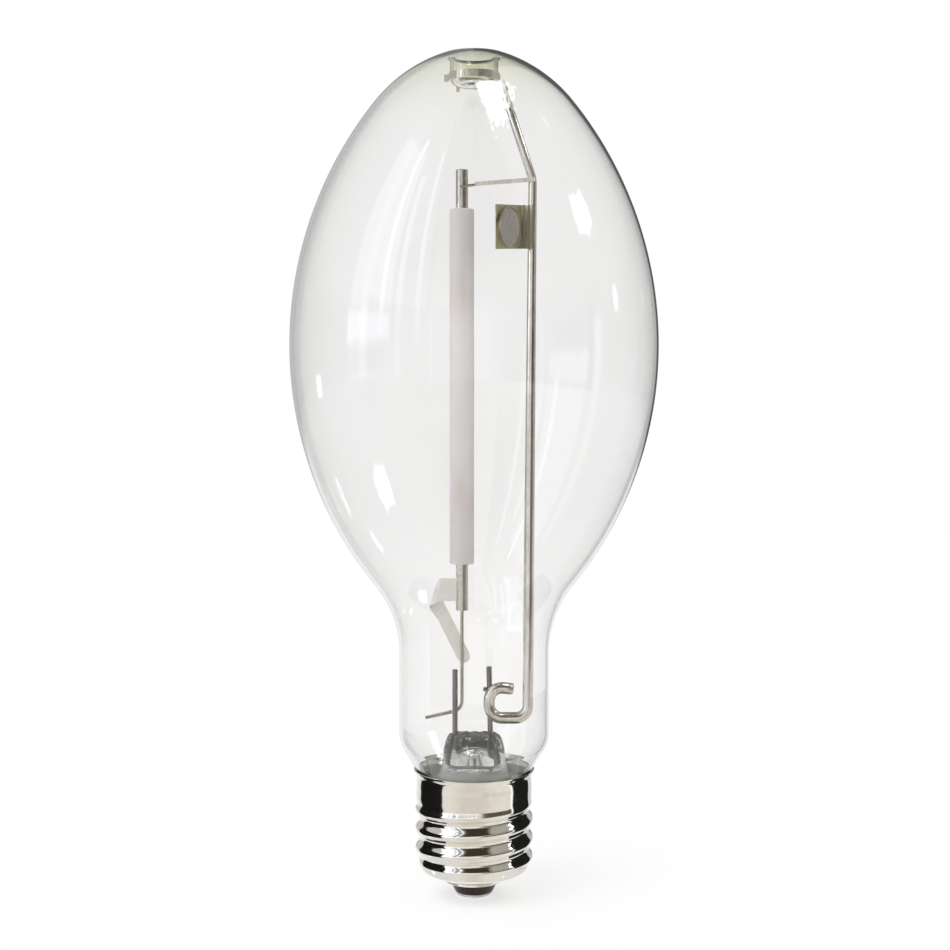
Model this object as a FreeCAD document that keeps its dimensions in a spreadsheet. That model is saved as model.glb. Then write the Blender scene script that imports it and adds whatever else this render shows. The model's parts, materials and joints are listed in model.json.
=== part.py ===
import FreeCAD, Part
import math
import os

import Sketcher
from FreeCAD import Placement, Rotation, Vector

# Clear elliptical discharge lamp, base down, in millimetres
#
# The origin is the middle of the flat end of the centre contact. Z runs up the axis of the
# bulb, X to the right of the lamp seen from its front, and the front is towards -Y.

SIZES = {
    # Glass envelope from its neck in the cap up to its tip, all radii on its outer face
    "bulb_radius": 60.5,
    "bulb_lower_length": 101.2,
    "bulb_upper_length": 95.9,
    "bulb_tip_arc": 50.0,
    "bulb_tip_offset": 6.4,
    "bulb_wall": 1.1,
    "neck_radius": 24.8,
    "neck_arc": 36.0,
    "neck_length": 29.1,
    "shoulder_rise": 12.2,
    "shoulder_arc": 6.0,
    "throat_length": 5.3,
    "throat_arc": 4.0,
    "neck_end_rise": 1.4,
    "dimple_radius": 6.9,
    "dimple_depth": 9.8,
    "dimple_floor_arc": 2.5,
    "lip_arc": 2.2,
    # Screw cap
    "thread_crest_radius": 19.5,
    "thread_depth": 1.5,
    "thread_pitch": 6.35,
    "thread_start_height": 25.9,
    "thread_low_rise": 0.9,
    "thread_length": 22.1,
    "thread_fade": 3.2,
    "skirt_length": 9.5,
    "skirt_step": 1.1,
    "rim_step": 0.75,
    "rim_flare_length": 2.0,
    "shell_thickness": 0.35,
    "shell_floor_inset": 0.4,
    "shell_floor_rise": 4.4,
    "shell_corner_inset": 1.1,
    "shell_corner_drop": 0.9,
    "shell_corner_round": 0.55,
    "shell_corner_swell": 0.1,
    "shell_wall_step": 0.35,
    "shell_hole_radius": 8.3,
    "shell_hole_height": 5.2,
    "cap_clearance": 0.35,
    # Insulator, contact and solder
    "insulator_foot_radius": 6.3,
    "insulator_foot_height": 1.5,
    "insulator_foot_edge": 0.7,
    "insulator_inset": 2.6,
    "insulator_top_rise": 2.4,
    "insulator_hole_radius": 1.2,
    "insulator_clearance": 0.1,
    "contact_inset": 0.3,
    "contact_edge": 0.35,
    "contact_thickness": 0.8,
    "solder_radius": 4.6,
    "solder_flat_radius": 3.6,
    "solder_edge": 0.8,
    # Stem: flare, press and exhaust tube in one piece of glass
    "stem_wall": 1.2,
    "flare_foot_inset": 1.9,
    "flare_foot_rise": 1.4,
    "flare_foot_edge": 0.4,
    "flare_waist_radius": 11.4,
    "flare_waist_rise": 5.6,
    "flare_top_round": 0.8,
    "press_base_radius": 10.5,
    "press_base_rise": 4.6,
    "press_base_flat": 0.42,
    "press_height": 7.9,
    "press_width": 16.6,
    "press_depth": 8.6,
    "press_corner": 3.6,
    "press_edge": 0.9,
    "exhaust_radius": 3.2,
    "exhaust_wall": 1.0,
    "exhaust_tip_rise": 4.0,
    "exhaust_tip_round": 2.0,
    # Lead-in wires
    "lead_radius": 0.88,
    "lead_foot_drop": 2.0,
    "left_lead_inset": 2.0,
    "left_lead_length": 21.3,
    "right_lead_inset": 2.9,
    "right_lead_length": 22.3,
    "right_lead_lean": 0.45,
    "right_lead_bend": 12.0,
    "tail_lead_radius": 0.4,
    "centre_lead_rise": 1.2,
    "centre_lead_turn_rise": 5.4,
    "wire_bend": 2.0,
    # Frame wire from the hook on the right lead-in up to the dimple
    "frame_radius": 1.45,
    "hook_end_x": 12.9,
    "hook_bottom_rise": 5.8,
    "hook_height": 10.2,
    "hook_bend": 4.3,
    "frame_foot_x": 17.6,
    "frame_foot_bend": 4.0,
    "frame_lean": 1.6,
    "frame_shoulder_rise": 9.3,
    "frame_shoulder_bend": 9.0,
    "frame_tip_drop": 0.5,
    "weld_clearance": 0.05,
    # Spring clip round the dimple
    "clip_thickness": 0.5,
    "clip_height": 2.4,
    "clip_rise": 0.8,
    "clip_gap_angle": 50.0,
    "clip_gap_turn": 152.0,
    "clip_ear_length": 1.2,
    "clip_clearance": 0.15,
    "clip_tab_width": 1.3,
    "clip_tab_length": 2.2,
    # Arc tube and its ends, hung between the stem and the dimple
    "arc_x": -4.0,
    "arc_radius": 4.0,
    "arc_wall": 0.75,
    "arc_bottom_rise": 56.6,
    "arc_top_drop": 41.1,
    "arc_edge": 0.5,
    "plug_length": 10.7,
    "niobium_radius": 2.0,
    "niobium_wall": 0.3,
    "niobium_edge": 0.35,
    "upper_niobium_length": 12.9,
    "lower_niobium_length": 15.0,
    "electrode_radius": 0.45,
    "electrode_length": 19.0,
    "electrode_shank": 3.0,
    "electrode_tip_round": 0.4,
    "coil_wire_radius": 0.4,
    "coil_bite": 0.04,
    "coil_pitch": 0.88,
    "coil_length": 5.4,
    "coil_tip_gap": 1.6,
    "amalgam_radius": 1.2,
    "amalgam_height": 1.6,
    # Support wire that the lower niobium tube slides on
    "support_radius": 0.55,
    "support_engagement": 8.1,
    "support_turn_rise": 7.8,
    "support_bend": 3.6,
    "support_tail_reach": 9.9,
    "support_tail_drop": 2.7,
    "support_top_depth": 0.6,
    # Cross connector at the top
    "connector_strip_height": 1.3,
    "connector_strip_thickness": 0.6,
    "connector_left_offset": 4.4,
    "connector_rise": 7.8,
    "connector_climb": 1.4,
    "connector_wire_radius": 0.45,
    "connector_wire_overhang": 0.6,
    "connector_wire_drop": 0.8,
    "connector_overlap": 1.4,
    # Getter on its flag, which turns towards the front from the frame wire
    "getter_turn": 57.0,
    "getter_bend_offset": 2.3,
    "getter_flag_length": 15.4,
    "getter_flag_height": 14.2,
    "getter_flag_drop": 1.2,
    "getter_drop": 13.4,
    "getter_thickness": 0.3,
    "getter_tab_length": 4.4,
    "getter_flute_depth": 0.35,
    "getter_flutes": 3,
    "getter_cup_radius": 6.6,
    "getter_cup_rim": 0.45,
    "getter_cup_height": 0.9,
    "getter_pellet_height": 0.55,
    "getter_pellet_clearance": 0.05,
    # Flexible strap, folded back on itself, from the lower niobium tube to the support wire
    "strap_thickness": 0.25,
    "strap_width": 7.1,
    "strap_rise": 10.3,
    "strap_weld_angle": 35.0,
    "strap_weld_length": 1.25,
    "strap_reach": 5.9,
    "strap_fold_round": 1.0,
    "strap_fold_depth": 2.8,
    "strap_fold_upper_drop": 4.2,
    "strap_fold_lower_drop": 3.6,
    "strap_fold_lower_reach": 2.55,
    "strap_leg_head_rise": 4.8,
    "strap_leg_width": 4.4,
    "strap_leg_lean": 26.0,
    "strap_leg_drop": 18.3,
    "strap_foot_offset": 0.55,
}

# Heights and radii that follow from the sizes, each counted from the piece that carries it
PLACES = {
    "shell_floor_height": "Size.shell_hole_height + Size.shell_floor_rise",
    "thread_low_height": "shell_floor_height + Size.thread_low_rise",
    "thread_high_height": "thread_low_height + Size.thread_length",
    "skirt_end_height": "thread_high_height + Size.skirt_length - Size.rim_flare_length",
    "thread_root_radius": "Size.thread_crest_radius - Size.thread_depth",
    "skirt_radius": "thread_root_radius + Size.skirt_step",
    "rim_radius": "skirt_radius + Size.rim_step",
    "shell_floor_radius": "thread_root_radius - Size.shell_floor_inset",
    "insulator_inner_radius": "shell_floor_radius - Size.insulator_inset",
    "insulator_top_height": "shell_floor_height + Size.insulator_top_rise",
    "contact_radius": "Size.insulator_foot_radius - Size.contact_inset",
    "contact_underside_height": "Size.insulator_foot_height - Size.contact_thickness",
    "throat_radius": "thread_root_radius - Size.shell_thickness - Size.cap_clearance",
    "neck_end_height": "thread_high_height + Size.neck_end_rise",
    "throat_height": "neck_end_height + Size.throat_length",
    "shoulder_height": "throat_height + Size.shoulder_rise",
    "neck_top_height": "shoulder_height + Size.neck_length",
    "bulb_middle_height": "neck_top_height + Size.bulb_lower_length",
    "bulb_top_height": "bulb_middle_height + Size.bulb_upper_length",
    "dimple_floor_height": "bulb_top_height - Size.dimple_depth",
    "clip_foot_height": "dimple_floor_height + Size.clip_rise",
    "flare_foot_radius": "throat_radius - Size.flare_foot_inset",
    "flare_foot_height": "neck_end_height + Size.flare_foot_rise",
    "flare_waist_height": "flare_foot_height + Size.flare_waist_rise",
    "press_base_height": "flare_waist_height + Size.press_base_rise",
    "press_top_height": "press_base_height + Size.press_height",
    "exhaust_tip_height": "insulator_top_height + Size.exhaust_tip_rise",
    "lead_foot_height": "press_base_height - Size.lead_foot_drop",
    "left_lead_x": "Size.press_width / 2 - Size.left_lead_inset",
    "left_lead_top": "press_top_height + Size.left_lead_length",
    "right_lead_x": "Size.press_width / 2 - Size.right_lead_inset",
    "right_lead_top_x": "right_lead_x - Size.right_lead_lean",
    "right_lead_top": "press_top_height + Size.right_lead_length",
    "centre_lead_axis_height": "insulator_top_height + Size.centre_lead_rise",
    "centre_lead_turn_height": "insulator_top_height + Size.centre_lead_turn_rise",
    "side_lead_height": "Size.thread_start_height + Size.thread_pitch / 2",
    "hook_bottom_height": "press_top_height + Size.hook_bottom_rise",
    "hook_top_height": "hook_bottom_height + Size.hook_height",
    "arc_bottom_height": "press_top_height + Size.arc_bottom_rise",
    "arc_top_height": "dimple_floor_height - Size.arc_top_drop",
    "upper_niobium_height": "arc_top_height + Size.upper_niobium_length",
    "lower_niobium_height": "arc_bottom_height - Size.lower_niobium_length",
    "frame_shoulder_x": "Size.frame_foot_x + Size.frame_lean",
    "frame_shoulder_height": "arc_top_height + Size.frame_shoulder_rise",
    "support_top_height": "lower_niobium_height + Size.support_engagement",
    "support_turn_height": "press_top_height + Size.support_turn_rise",
    "support_tail_x": "-left_lead_x - Size.support_tail_reach",
    "support_tail_height": "support_turn_height - Size.support_tail_drop",
    "connector_left_x": "Size.arc_x + Size.connector_left_offset",
    "connector_left_height": "arc_top_height + Size.connector_rise",
    "connector_right_height": "connector_left_height + Size.connector_climb",
    "connector_wire_left_x": "Size.arc_x - Size.connector_wire_overhang",
    "connector_wire_left_height": "connector_left_height - Size.connector_wire_drop",
    "getter_bend_x": "Size.frame_foot_x - Size.getter_bend_offset",
    "getter_foot_height": "arc_top_height - Size.getter_drop",
    "strap_top_height": "lower_niobium_height + Size.strap_rise",
    "strap_leg_foot_height": "lower_niobium_height - Size.strap_leg_drop",
}

doc = FreeCAD.newDocument("Lamp")
sheet = doc.addObject("Spreadsheet::Sheet", "Size")
for row, (alias, number) in enumerate(SIZES.items(), start=1):
    sheet.set(f"A{row}", alias)
    sheet.set(f"B{row}", str(number))
    sheet.setAlias(f"B{row}", alias)
places = doc.addObject("Spreadsheet::Sheet", "Place")
for row, (alias, sum_of_sizes) in enumerate(PLACES.items(), start=1):
    places.set(f"A{row}", alias)
    places.set(f"B{row}", "=" + sum_of_sizes)
    places.setAlias(f"B{row}", alias)
doc.recompute()

AXIS_Z = Vector(0, 0, 1)


# Helpers

def value(expression):
    """The number that an expression of sheet cells comes to."""
    return float(sheet.evalExpression(str(expression)))


def smooth(share):
    """Eases from 0 to 1 with a level start and end."""
    share = min(max(share, 0.0), 1.0)
    return share * share * (3 - 2 * share)


def new_body(label):
    body = doc.addObject("PartDesign::Body", label)
    body.Label = label
    return body


def new_sketch(body, name, role, shift="0"):
    """An empty sketch on an origin plane of its body, moved along that plane's normal."""
    sketch = body.newObject("Sketcher::SketchObject", name)
    plane = [feature for feature in body.Origin.OriginFeatures if feature.Role == role][0]
    sketch.AttachmentSupport = [(plane, "")]
    sketch.MapMode = "FlatFace"
    sketch.setExpression("AttachmentOffset.Base.z", shift)
    return sketch


def bind(sketch, constraint, expression):
    """Adds a dimension to a sketch and ties it to an expression of sheet cells."""
    index = sketch.addConstraint(constraint)
    sketch.setExpression(f"Constraints[{index}]", str(expression))


def pin_point(sketch, geometry, position, across, up):
    """Ties a point of the sketch to its distances from the origin."""
    bind(sketch, Sketcher.Constraint("DistanceX", -1, 1, geometry, position, value(across)), across)
    bind(sketch, Sketcher.Constraint("DistanceY", -1, 1, geometry, position, value(up)), up)


def arc_between(centre, start, end, left_turn):
    """An arc round centre; the start and end of a right turn are its end and start."""
    first, last = (start, end) if left_turn else (end, start)
    angle = math.atan2(first.y - centre.y, first.x - centre.x)
    stop = math.atan2(last.y - centre.y, last.x - centre.x)
    if stop < angle:
        stop += 2 * math.pi
    circle = Part.Circle(centre, AXIS_Z, (start - centre).Length)
    return Part.ArcOfCircle(circle, angle, stop)


def outline(sketch, corners, closed=True):
    """Straight edges through the corners in turn; a corner with a third entry is rounded."""
    points = [Vector(value(corner[0]), value(corner[1]), 0) for corner in corners]
    count = len(points)
    edges = count if closed else count - 1
    entry = list(points)
    leave = list(points)
    for index, corner in enumerate(corners):
        if len(corner) == 3:
            back = (points[index - 1] - points[index]).normalize()
            ahead = (points[(index + 1) % count] - points[index]).normalize()
            reach = value(corner[2]) / math.tan(back.getAngle(ahead) / 2)
            entry[index] = points[index] + back * reach
            leave[index] = points[index] + ahead * reach
    lines = []
    for index in range(edges):
        line = Part.LineSegment(leave[index], entry[(index + 1) % count])
        lines.append(sketch.addGeometry(line))
    for index, corner in enumerate(corners):
        inner = closed or 0 < index < count - 1
        before = lines[index - 1] if inner else None
        if len(corner) == 2:
            if inner:
                sketch.addConstraint(Sketcher.Constraint("Coincident", before, 2, lines[index], 1))
            if index < edges:
                pin_point(sketch, lines[index], 1, corner[0], corner[1])
            else:
                pin_point(sketch, lines[index - 1], 2, corner[0], corner[1])
            continue
        after = lines[index]
        back = points[index] - entry[index]
        ahead = leave[index] - points[index]
        left_turn = back.cross(ahead).z > 0
        side = Vector(-back.y, back.x, 0).normalize() * value(corner[2])
        centre = entry[index] + (side if left_turn else side.negative())
        arc = sketch.addGeometry(arc_between(centre, entry[index], leave[index], left_turn))
        first, last = (1, 2) if left_turn else (2, 1)
        sketch.addConstraint(Sketcher.Constraint("Tangent", before, 2, arc, first))
        sketch.addConstraint(Sketcher.Constraint("Tangent", arc, last, after, 1))
        bind(sketch, Sketcher.Constraint("Radius", arc, value(corner[2])), corner[2])
        mark = sketch.addGeometry(Part.Point(points[index]), True)
        sketch.addConstraint(Sketcher.Constraint("PointOnObject", mark, 1, before))
        sketch.addConstraint(Sketcher.Constraint("PointOnObject", mark, 1, after))
        pin_point(sketch, mark, 1, corner[0], corner[1])


def circle(sketch, across, up, radius):
    ring = Part.Circle(Vector(value(across), value(up), 0), AXIS_Z, value(radius))
    index = sketch.addGeometry(ring)
    pin_point(sketch, index, 3, across, up)
    bind(sketch, Sketcher.Constraint("Radius", index, value(radius)), radius)


def revolve(body, name, corners, kind="PartDesign::Revolution"):
    """Turns an outline given as radius and height about the body's Z axis."""
    sketch = new_sketch(body, name + "_outline", "XZ_Plane")
    outline(sketch, corners)
    turned = body.newObject(kind, name)
    turned.Profile = sketch
    turned.ReferenceAxis = (sketch, ["V_Axis"])
    turned.Angle = 360
    return turned


def pad(body, name, sketch, length):
    padded = body.newObject("PartDesign::Pad", name)
    padded.Profile = sketch
    padded.setExpression("Length", length)
    return padded


def round_wire(label, corners, radius, depth="0", start="XY_Plane"):
    """A round wire bent in a plane parallel to XZ, depth in front of the axis.

    Its first run is square to the start plane, XY for an upright one and YZ for a level one.
    """
    body = new_body(label)
    spine = new_sketch(body, label + "_path", "XZ_Plane", depth)
    outline(spine, corners, closed=False)
    if start == "XY_Plane":
        end = new_sketch(body, label + "_end", start, corners[0][1])
        circle(end, corners[0][0], f"-({depth})", radius)
    else:
        end = new_sketch(body, label + "_end", start, corners[0][0])
        circle(end, f"-({depth})", corners[0][1], radius)
    pipe = body.newObject("PartDesign::AdditivePipe", label + "_wire")
    pipe.Profile = end
    pipe.Spine = spine
    return body


# Glass

def arc_points(right_turn):
    """The start and end of an arc along the outline; one that turns right starts at its own end."""
    return (2, 1) if right_turn else (1, 2)


def make_envelope():
    """The blown bulb with its neck and the re-entrant dimple at its tip, of even wall."""
    body = new_body("outer_bulb")
    sketch = new_sketch(body, "envelope_outline", "XZ_Plane")
    belly = value("Size.bulb_radius")
    middle = value("Place.bulb_middle_height")
    tip_radius = value("Size.bulb_tip_arc")
    lip_radius = value("Size.lip_arc")
    waist_radius = value("Size.neck_arc")
    floor_radius = value("Size.dimple_floor_arc")
    bore = value("Size.dimple_radius")
    floor = value("Place.dimple_floor_height")
    neck = value("Size.neck_radius")
    lip = Vector(bore + lip_radius, value("Place.bulb_top_height") - lip_radius, 0)

    # The tip arc holds the lip arc inside it, and the upper side arc runs from it to the middle
    tip = Vector(-value("Size.bulb_tip_offset"), 0, 0)
    tip.y = lip.y - math.sqrt((tip_radius - lip_radius) ** 2 - (lip.x - tip.x) ** 2)
    reach = belly - tip.x
    rise = tip.y - middle
    upper_radius = (reach ** 2 + rise ** 2 - tip_radius ** 2) / (2 * (reach - tip_radius))
    upper = Vector(belly - upper_radius, middle, 0)

    # The lower side arc runs from the middle to the hollow arc above the neck
    waist = Vector(neck + waist_radius, value("Place.neck_top_height"), 0)
    step = waist.x - belly
    drop = middle - waist.y
    lower_radius = (step ** 2 + drop ** 2 - waist_radius ** 2) / (2 * (waist_radius - step))
    lower = Vector(belly - lower_radius, middle, 0)

    floor_centre = Vector(bore - floor_radius, floor + floor_radius, 0)
    floor_start = Vector(floor_centre.x, floor, 0)
    floor_end = Vector(bore, floor_centre.y, 0)
    lip_start = Vector(bore, lip.y, 0)
    lip_end = tip + (lip - tip).normalize() * tip_radius
    tip_end = upper + (tip - upper).normalize() * upper_radius
    belly_point = Vector(belly, middle, 0)
    side_end = lower + (waist - lower).normalize() * lower_radius
    waist_end = Vector(neck, waist.y, 0)

    floor_line = sketch.addGeometry(Part.LineSegment(Vector(0, floor, 0), floor_start))
    floor_arc = sketch.addGeometry(arc_between(floor_centre, floor_start, floor_end, True))
    bore_line = sketch.addGeometry(Part.LineSegment(floor_end, lip_start))
    lip_arc = sketch.addGeometry(arc_between(lip, lip_start, lip_end, False))
    tip_arc = sketch.addGeometry(arc_between(tip, lip_end, tip_end, False))
    upper_arc = sketch.addGeometry(arc_between(upper, tip_end, belly_point, False))
    lower_arc = sketch.addGeometry(arc_between(lower, belly_point, side_end, False))
    waist_arc = sketch.addGeometry(arc_between(waist, side_end, waist_end, True))

    # The neck runs down, draws in at the shoulder and ends in the cap
    throat = value("Place.throat_radius")
    shoulder = Vector(neck, value("Place.shoulder_height"), 0)
    gorge = Vector(throat, value("Place.throat_height"), 0)
    slope = Vector(gorge - shoulder).normalize()
    down = Vector(0, -1, 0)
    half = (math.pi - slope.getAngle(down)) / 2
    shoulder_reach = value("Size.shoulder_arc") / math.tan(half)
    throat_reach = value("Size.throat_arc") / math.tan(half)
    neck_end = shoulder - down * shoulder_reach
    cone_start = shoulder + slope * shoulder_reach
    cone_end = gorge - slope * throat_reach
    throat_start = gorge + down * throat_reach
    mouth = Vector(throat, value("Place.neck_end_height"), 0)
    shoulder_centre = neck_end - Vector(value("Size.shoulder_arc"), 0, 0)
    throat_centre = throat_start + Vector(value("Size.throat_arc"), 0, 0)
    neck_line = sketch.addGeometry(Part.LineSegment(waist_end, neck_end))
    shoulder_arc = sketch.addGeometry(arc_between(shoulder_centre, neck_end, cone_start, False))
    cone_line = sketch.addGeometry(Part.LineSegment(cone_start, cone_end))
    throat_arc = sketch.addGeometry(arc_between(throat_centre, cone_end, throat_start, True))
    throat_line = sketch.addGeometry(Part.LineSegment(throat_start, mouth))
    mouth_line = sketch.addGeometry(Part.LineSegment(mouth, Vector(0, mouth.y, 0)))
    axis_line = sketch.addGeometry(Part.LineSegment(Vector(0, mouth.y, 0), Vector(0, floor, 0)))

    chain = [
        (floor_line, False),
        (floor_arc, False),
        (bore_line, False),
        (lip_arc, True),
        (tip_arc, True),
        (upper_arc, True),
        (lower_arc, True),
        (waist_arc, False),
        (neck_line, False),
        (shoulder_arc, True),
        (cone_line, False),
        (throat_arc, False),
        (throat_line, False),
    ]
    for (before, turned), (after, turns) in zip(chain, chain[1:]):
        leave = arc_points(turned)[1]
        enter = arc_points(turns)[0]
        sketch.addConstraint(Sketcher.Constraint("Tangent", before, leave, after, enter))
    for before, after in ((throat_line, mouth_line), (mouth_line, axis_line), (axis_line, floor_line)):
        sketch.addConstraint(Sketcher.Constraint("Coincident", before, 2, after, 1))
    for level in (floor_line, mouth_line):
        sketch.addConstraint(Sketcher.Constraint("Horizontal", level))
    for upright in (bore_line, neck_line, throat_line, axis_line):
        sketch.addConstraint(Sketcher.Constraint("Vertical", upright))
    for arc, name in ((floor_arc, "dimple_floor_arc"), (lip_arc, "lip_arc"), (tip_arc, "bulb_tip_arc"),
                      (waist_arc, "neck_arc"), (shoulder_arc, "shoulder_arc"), (throat_arc, "throat_arc")):
        bind(sketch, Sketcher.Constraint("Radius", arc, value("Size." + name)), "Size." + name)
    pin_point(sketch, floor_line, 1, "0", "Place.dimple_floor_height")
    pin_point(sketch, lip_arc, 3, "Size.dimple_radius + Size.lip_arc",
              "Place.bulb_top_height - Size.lip_arc")
    pin_point(sketch, lower_arc, 2, "Size.bulb_radius", "Place.bulb_middle_height")
    pin_point(sketch, waist_arc, 3, "Size.neck_radius + Size.neck_arc", "Place.neck_top_height")
    pin_point(sketch, throat_line, 2, "Place.throat_radius", "Place.neck_end_height")
    bind(sketch, Sketcher.Constraint("DistanceX", tip_arc, 3, -1, 1, -tip.x), "Size.bulb_tip_offset")
    bind(sketch, Sketcher.Constraint("DistanceY", -1, 1, lower_arc, 3, middle), "Place.bulb_middle_height")
    for point, before, after, up in ((shoulder, neck_line, cone_line, "Place.shoulder_height"),
                                     (gorge, cone_line, throat_line, "Place.throat_height")):
        mark = sketch.addGeometry(Part.Point(point), True)
        sketch.addConstraint(Sketcher.Constraint("PointOnObject", mark, 1, before))
        sketch.addConstraint(Sketcher.Constraint("PointOnObject", mark, 1, after))
        bind(sketch, Sketcher.Constraint("DistanceY", -1, 1, mark, 1, value(up)), up)

    turned = body.newObject("PartDesign::Revolution", "envelope_solid")
    turned.Profile = sketch
    turned.ReferenceAxis = (sketch, ["V_Axis"])
    turned.Angle = 360
    doc.recompute()
    open_end = [f"Face{index}" for index, face in enumerate(turned.Shape.Faces, start=1)
                if face.BoundBox.ZMax < mouth.y + value("Size.weld_clearance")]
    wall = body.newObject("PartDesign::Thickness", "envelope_wall")
    wall.Base = (turned, open_end)
    wall.Reversed = True
    wall.Mode = 0
    wall.Join = 0
    wall.setExpression("Value", "Size.bulb_wall")
    return body


def make_stem():
    """Flare, press and exhaust tube. The press is squeezed flat on the lead-in wires."""
    body = new_body("stem")
    foot_outer = "Place.throat_radius"
    foot_low = "Place.neck_end_height - Size.stem_wall"
    inner_base = "Place.press_base_height - Size.stem_wall"
    revolve(body, "flare", [
        ("0", "Place.press_base_height"),
        ("Size.press_base_radius", "Place.press_base_height"),
        ("Size.flare_waist_radius", "Place.flare_waist_height"),
        ("Place.flare_foot_radius", "Place.flare_foot_height"),
        ("Place.flare_foot_radius", "Place.neck_end_height"),
        (foot_outer, "Place.neck_end_height"),
        (foot_outer, foot_low, "Size.flare_foot_edge"),
        ("Place.flare_foot_radius - Size.stem_wall", foot_low),
        ("Place.flare_foot_radius - Size.stem_wall", "Place.flare_foot_height - Size.stem_wall / 2"),
        ("Size.flare_waist_radius - Size.stem_wall", "Place.flare_waist_height - Size.stem_wall / 2"),
        ("Size.press_base_radius - Size.stem_wall", inner_base, "Size.flare_top_round"),
        ("Size.exhaust_radius", inner_base),
        ("Size.exhaust_radius", "Place.exhaust_tip_height", "Size.exhaust_tip_round"),
        ("0", "Place.exhaust_tip_height"),
    ])
    base = new_sketch(body, "press_base", "XY_Plane", "Place.press_base_height")
    top = new_sketch(body, "press_top", "XY_Plane", "Place.press_top_height")
    base_corner = "Size.press_base_radius - Size.press_base_flat"
    for sketch, half_width, half_depth, corner in (
            (base, "Size.press_base_radius", "Size.press_base_radius", base_corner),
            (top, "Size.press_width / 2", "Size.press_depth / 2", "Size.press_corner")):
        outline(sketch, [
            (f"-({half_width})", f"-({half_depth})", corner),
            (half_width, f"-({half_depth})", corner),
            (half_width, half_depth, corner),
            (f"-({half_width})", half_depth, corner),
        ])
    press = body.newObject("PartDesign::AdditiveLoft", "press")
    press.Profile = base
    press.Sections = [top]
    doc.recompute()

    # Bore of the exhaust tube, closed at its tip
    revolve(body, "exhaust_bore", [
        ("0", "Place.exhaust_tip_height + Size.exhaust_wall * 2"),
        ("Size.exhaust_radius - Size.exhaust_wall", "Place.exhaust_tip_height + Size.exhaust_wall * 2"),
        ("Size.exhaust_radius - Size.exhaust_wall", "Place.press_base_height"),
        ("0", "Place.press_base_height"),
    ], "PartDesign::Groove")

    # Passages that the lead-in wires fill
    holes = new_sketch(body, "lead_passages", "XY_Plane", "Place.press_top_height + Size.stem_wall")
    circle(holes, "-Place.left_lead_x", "0", "Size.lead_radius")
    circle(holes, "Place.right_lead_x", "0", "Size.lead_radius")
    cut = body.newObject("PartDesign::Pocket", "lead_holes")
    cut.Profile = holes
    cut.setExpression("Length", "Place.press_top_height - Place.lead_foot_height + Size.stem_wall")
    doc.recompute()
    close = value("Size.weld_clearance")
    top_height = value("Place.press_top_height")
    lead_width = value("Size.lead_radius * 2")
    top_edges = [f"Edge{index}" for index, edge in enumerate(cut.Shape.Edges, start=1)
                 if edge.BoundBox.ZMin > top_height - close
                 and max(edge.BoundBox.XLength, edge.BoundBox.YLength) > lead_width + close]
    soft = body.newObject("PartDesign::Fillet", "press_edge")
    soft.Base = (cut, top_edges)
    soft.setExpression("Radius", "Size.press_edge")
    return body


# Screw cap

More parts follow.
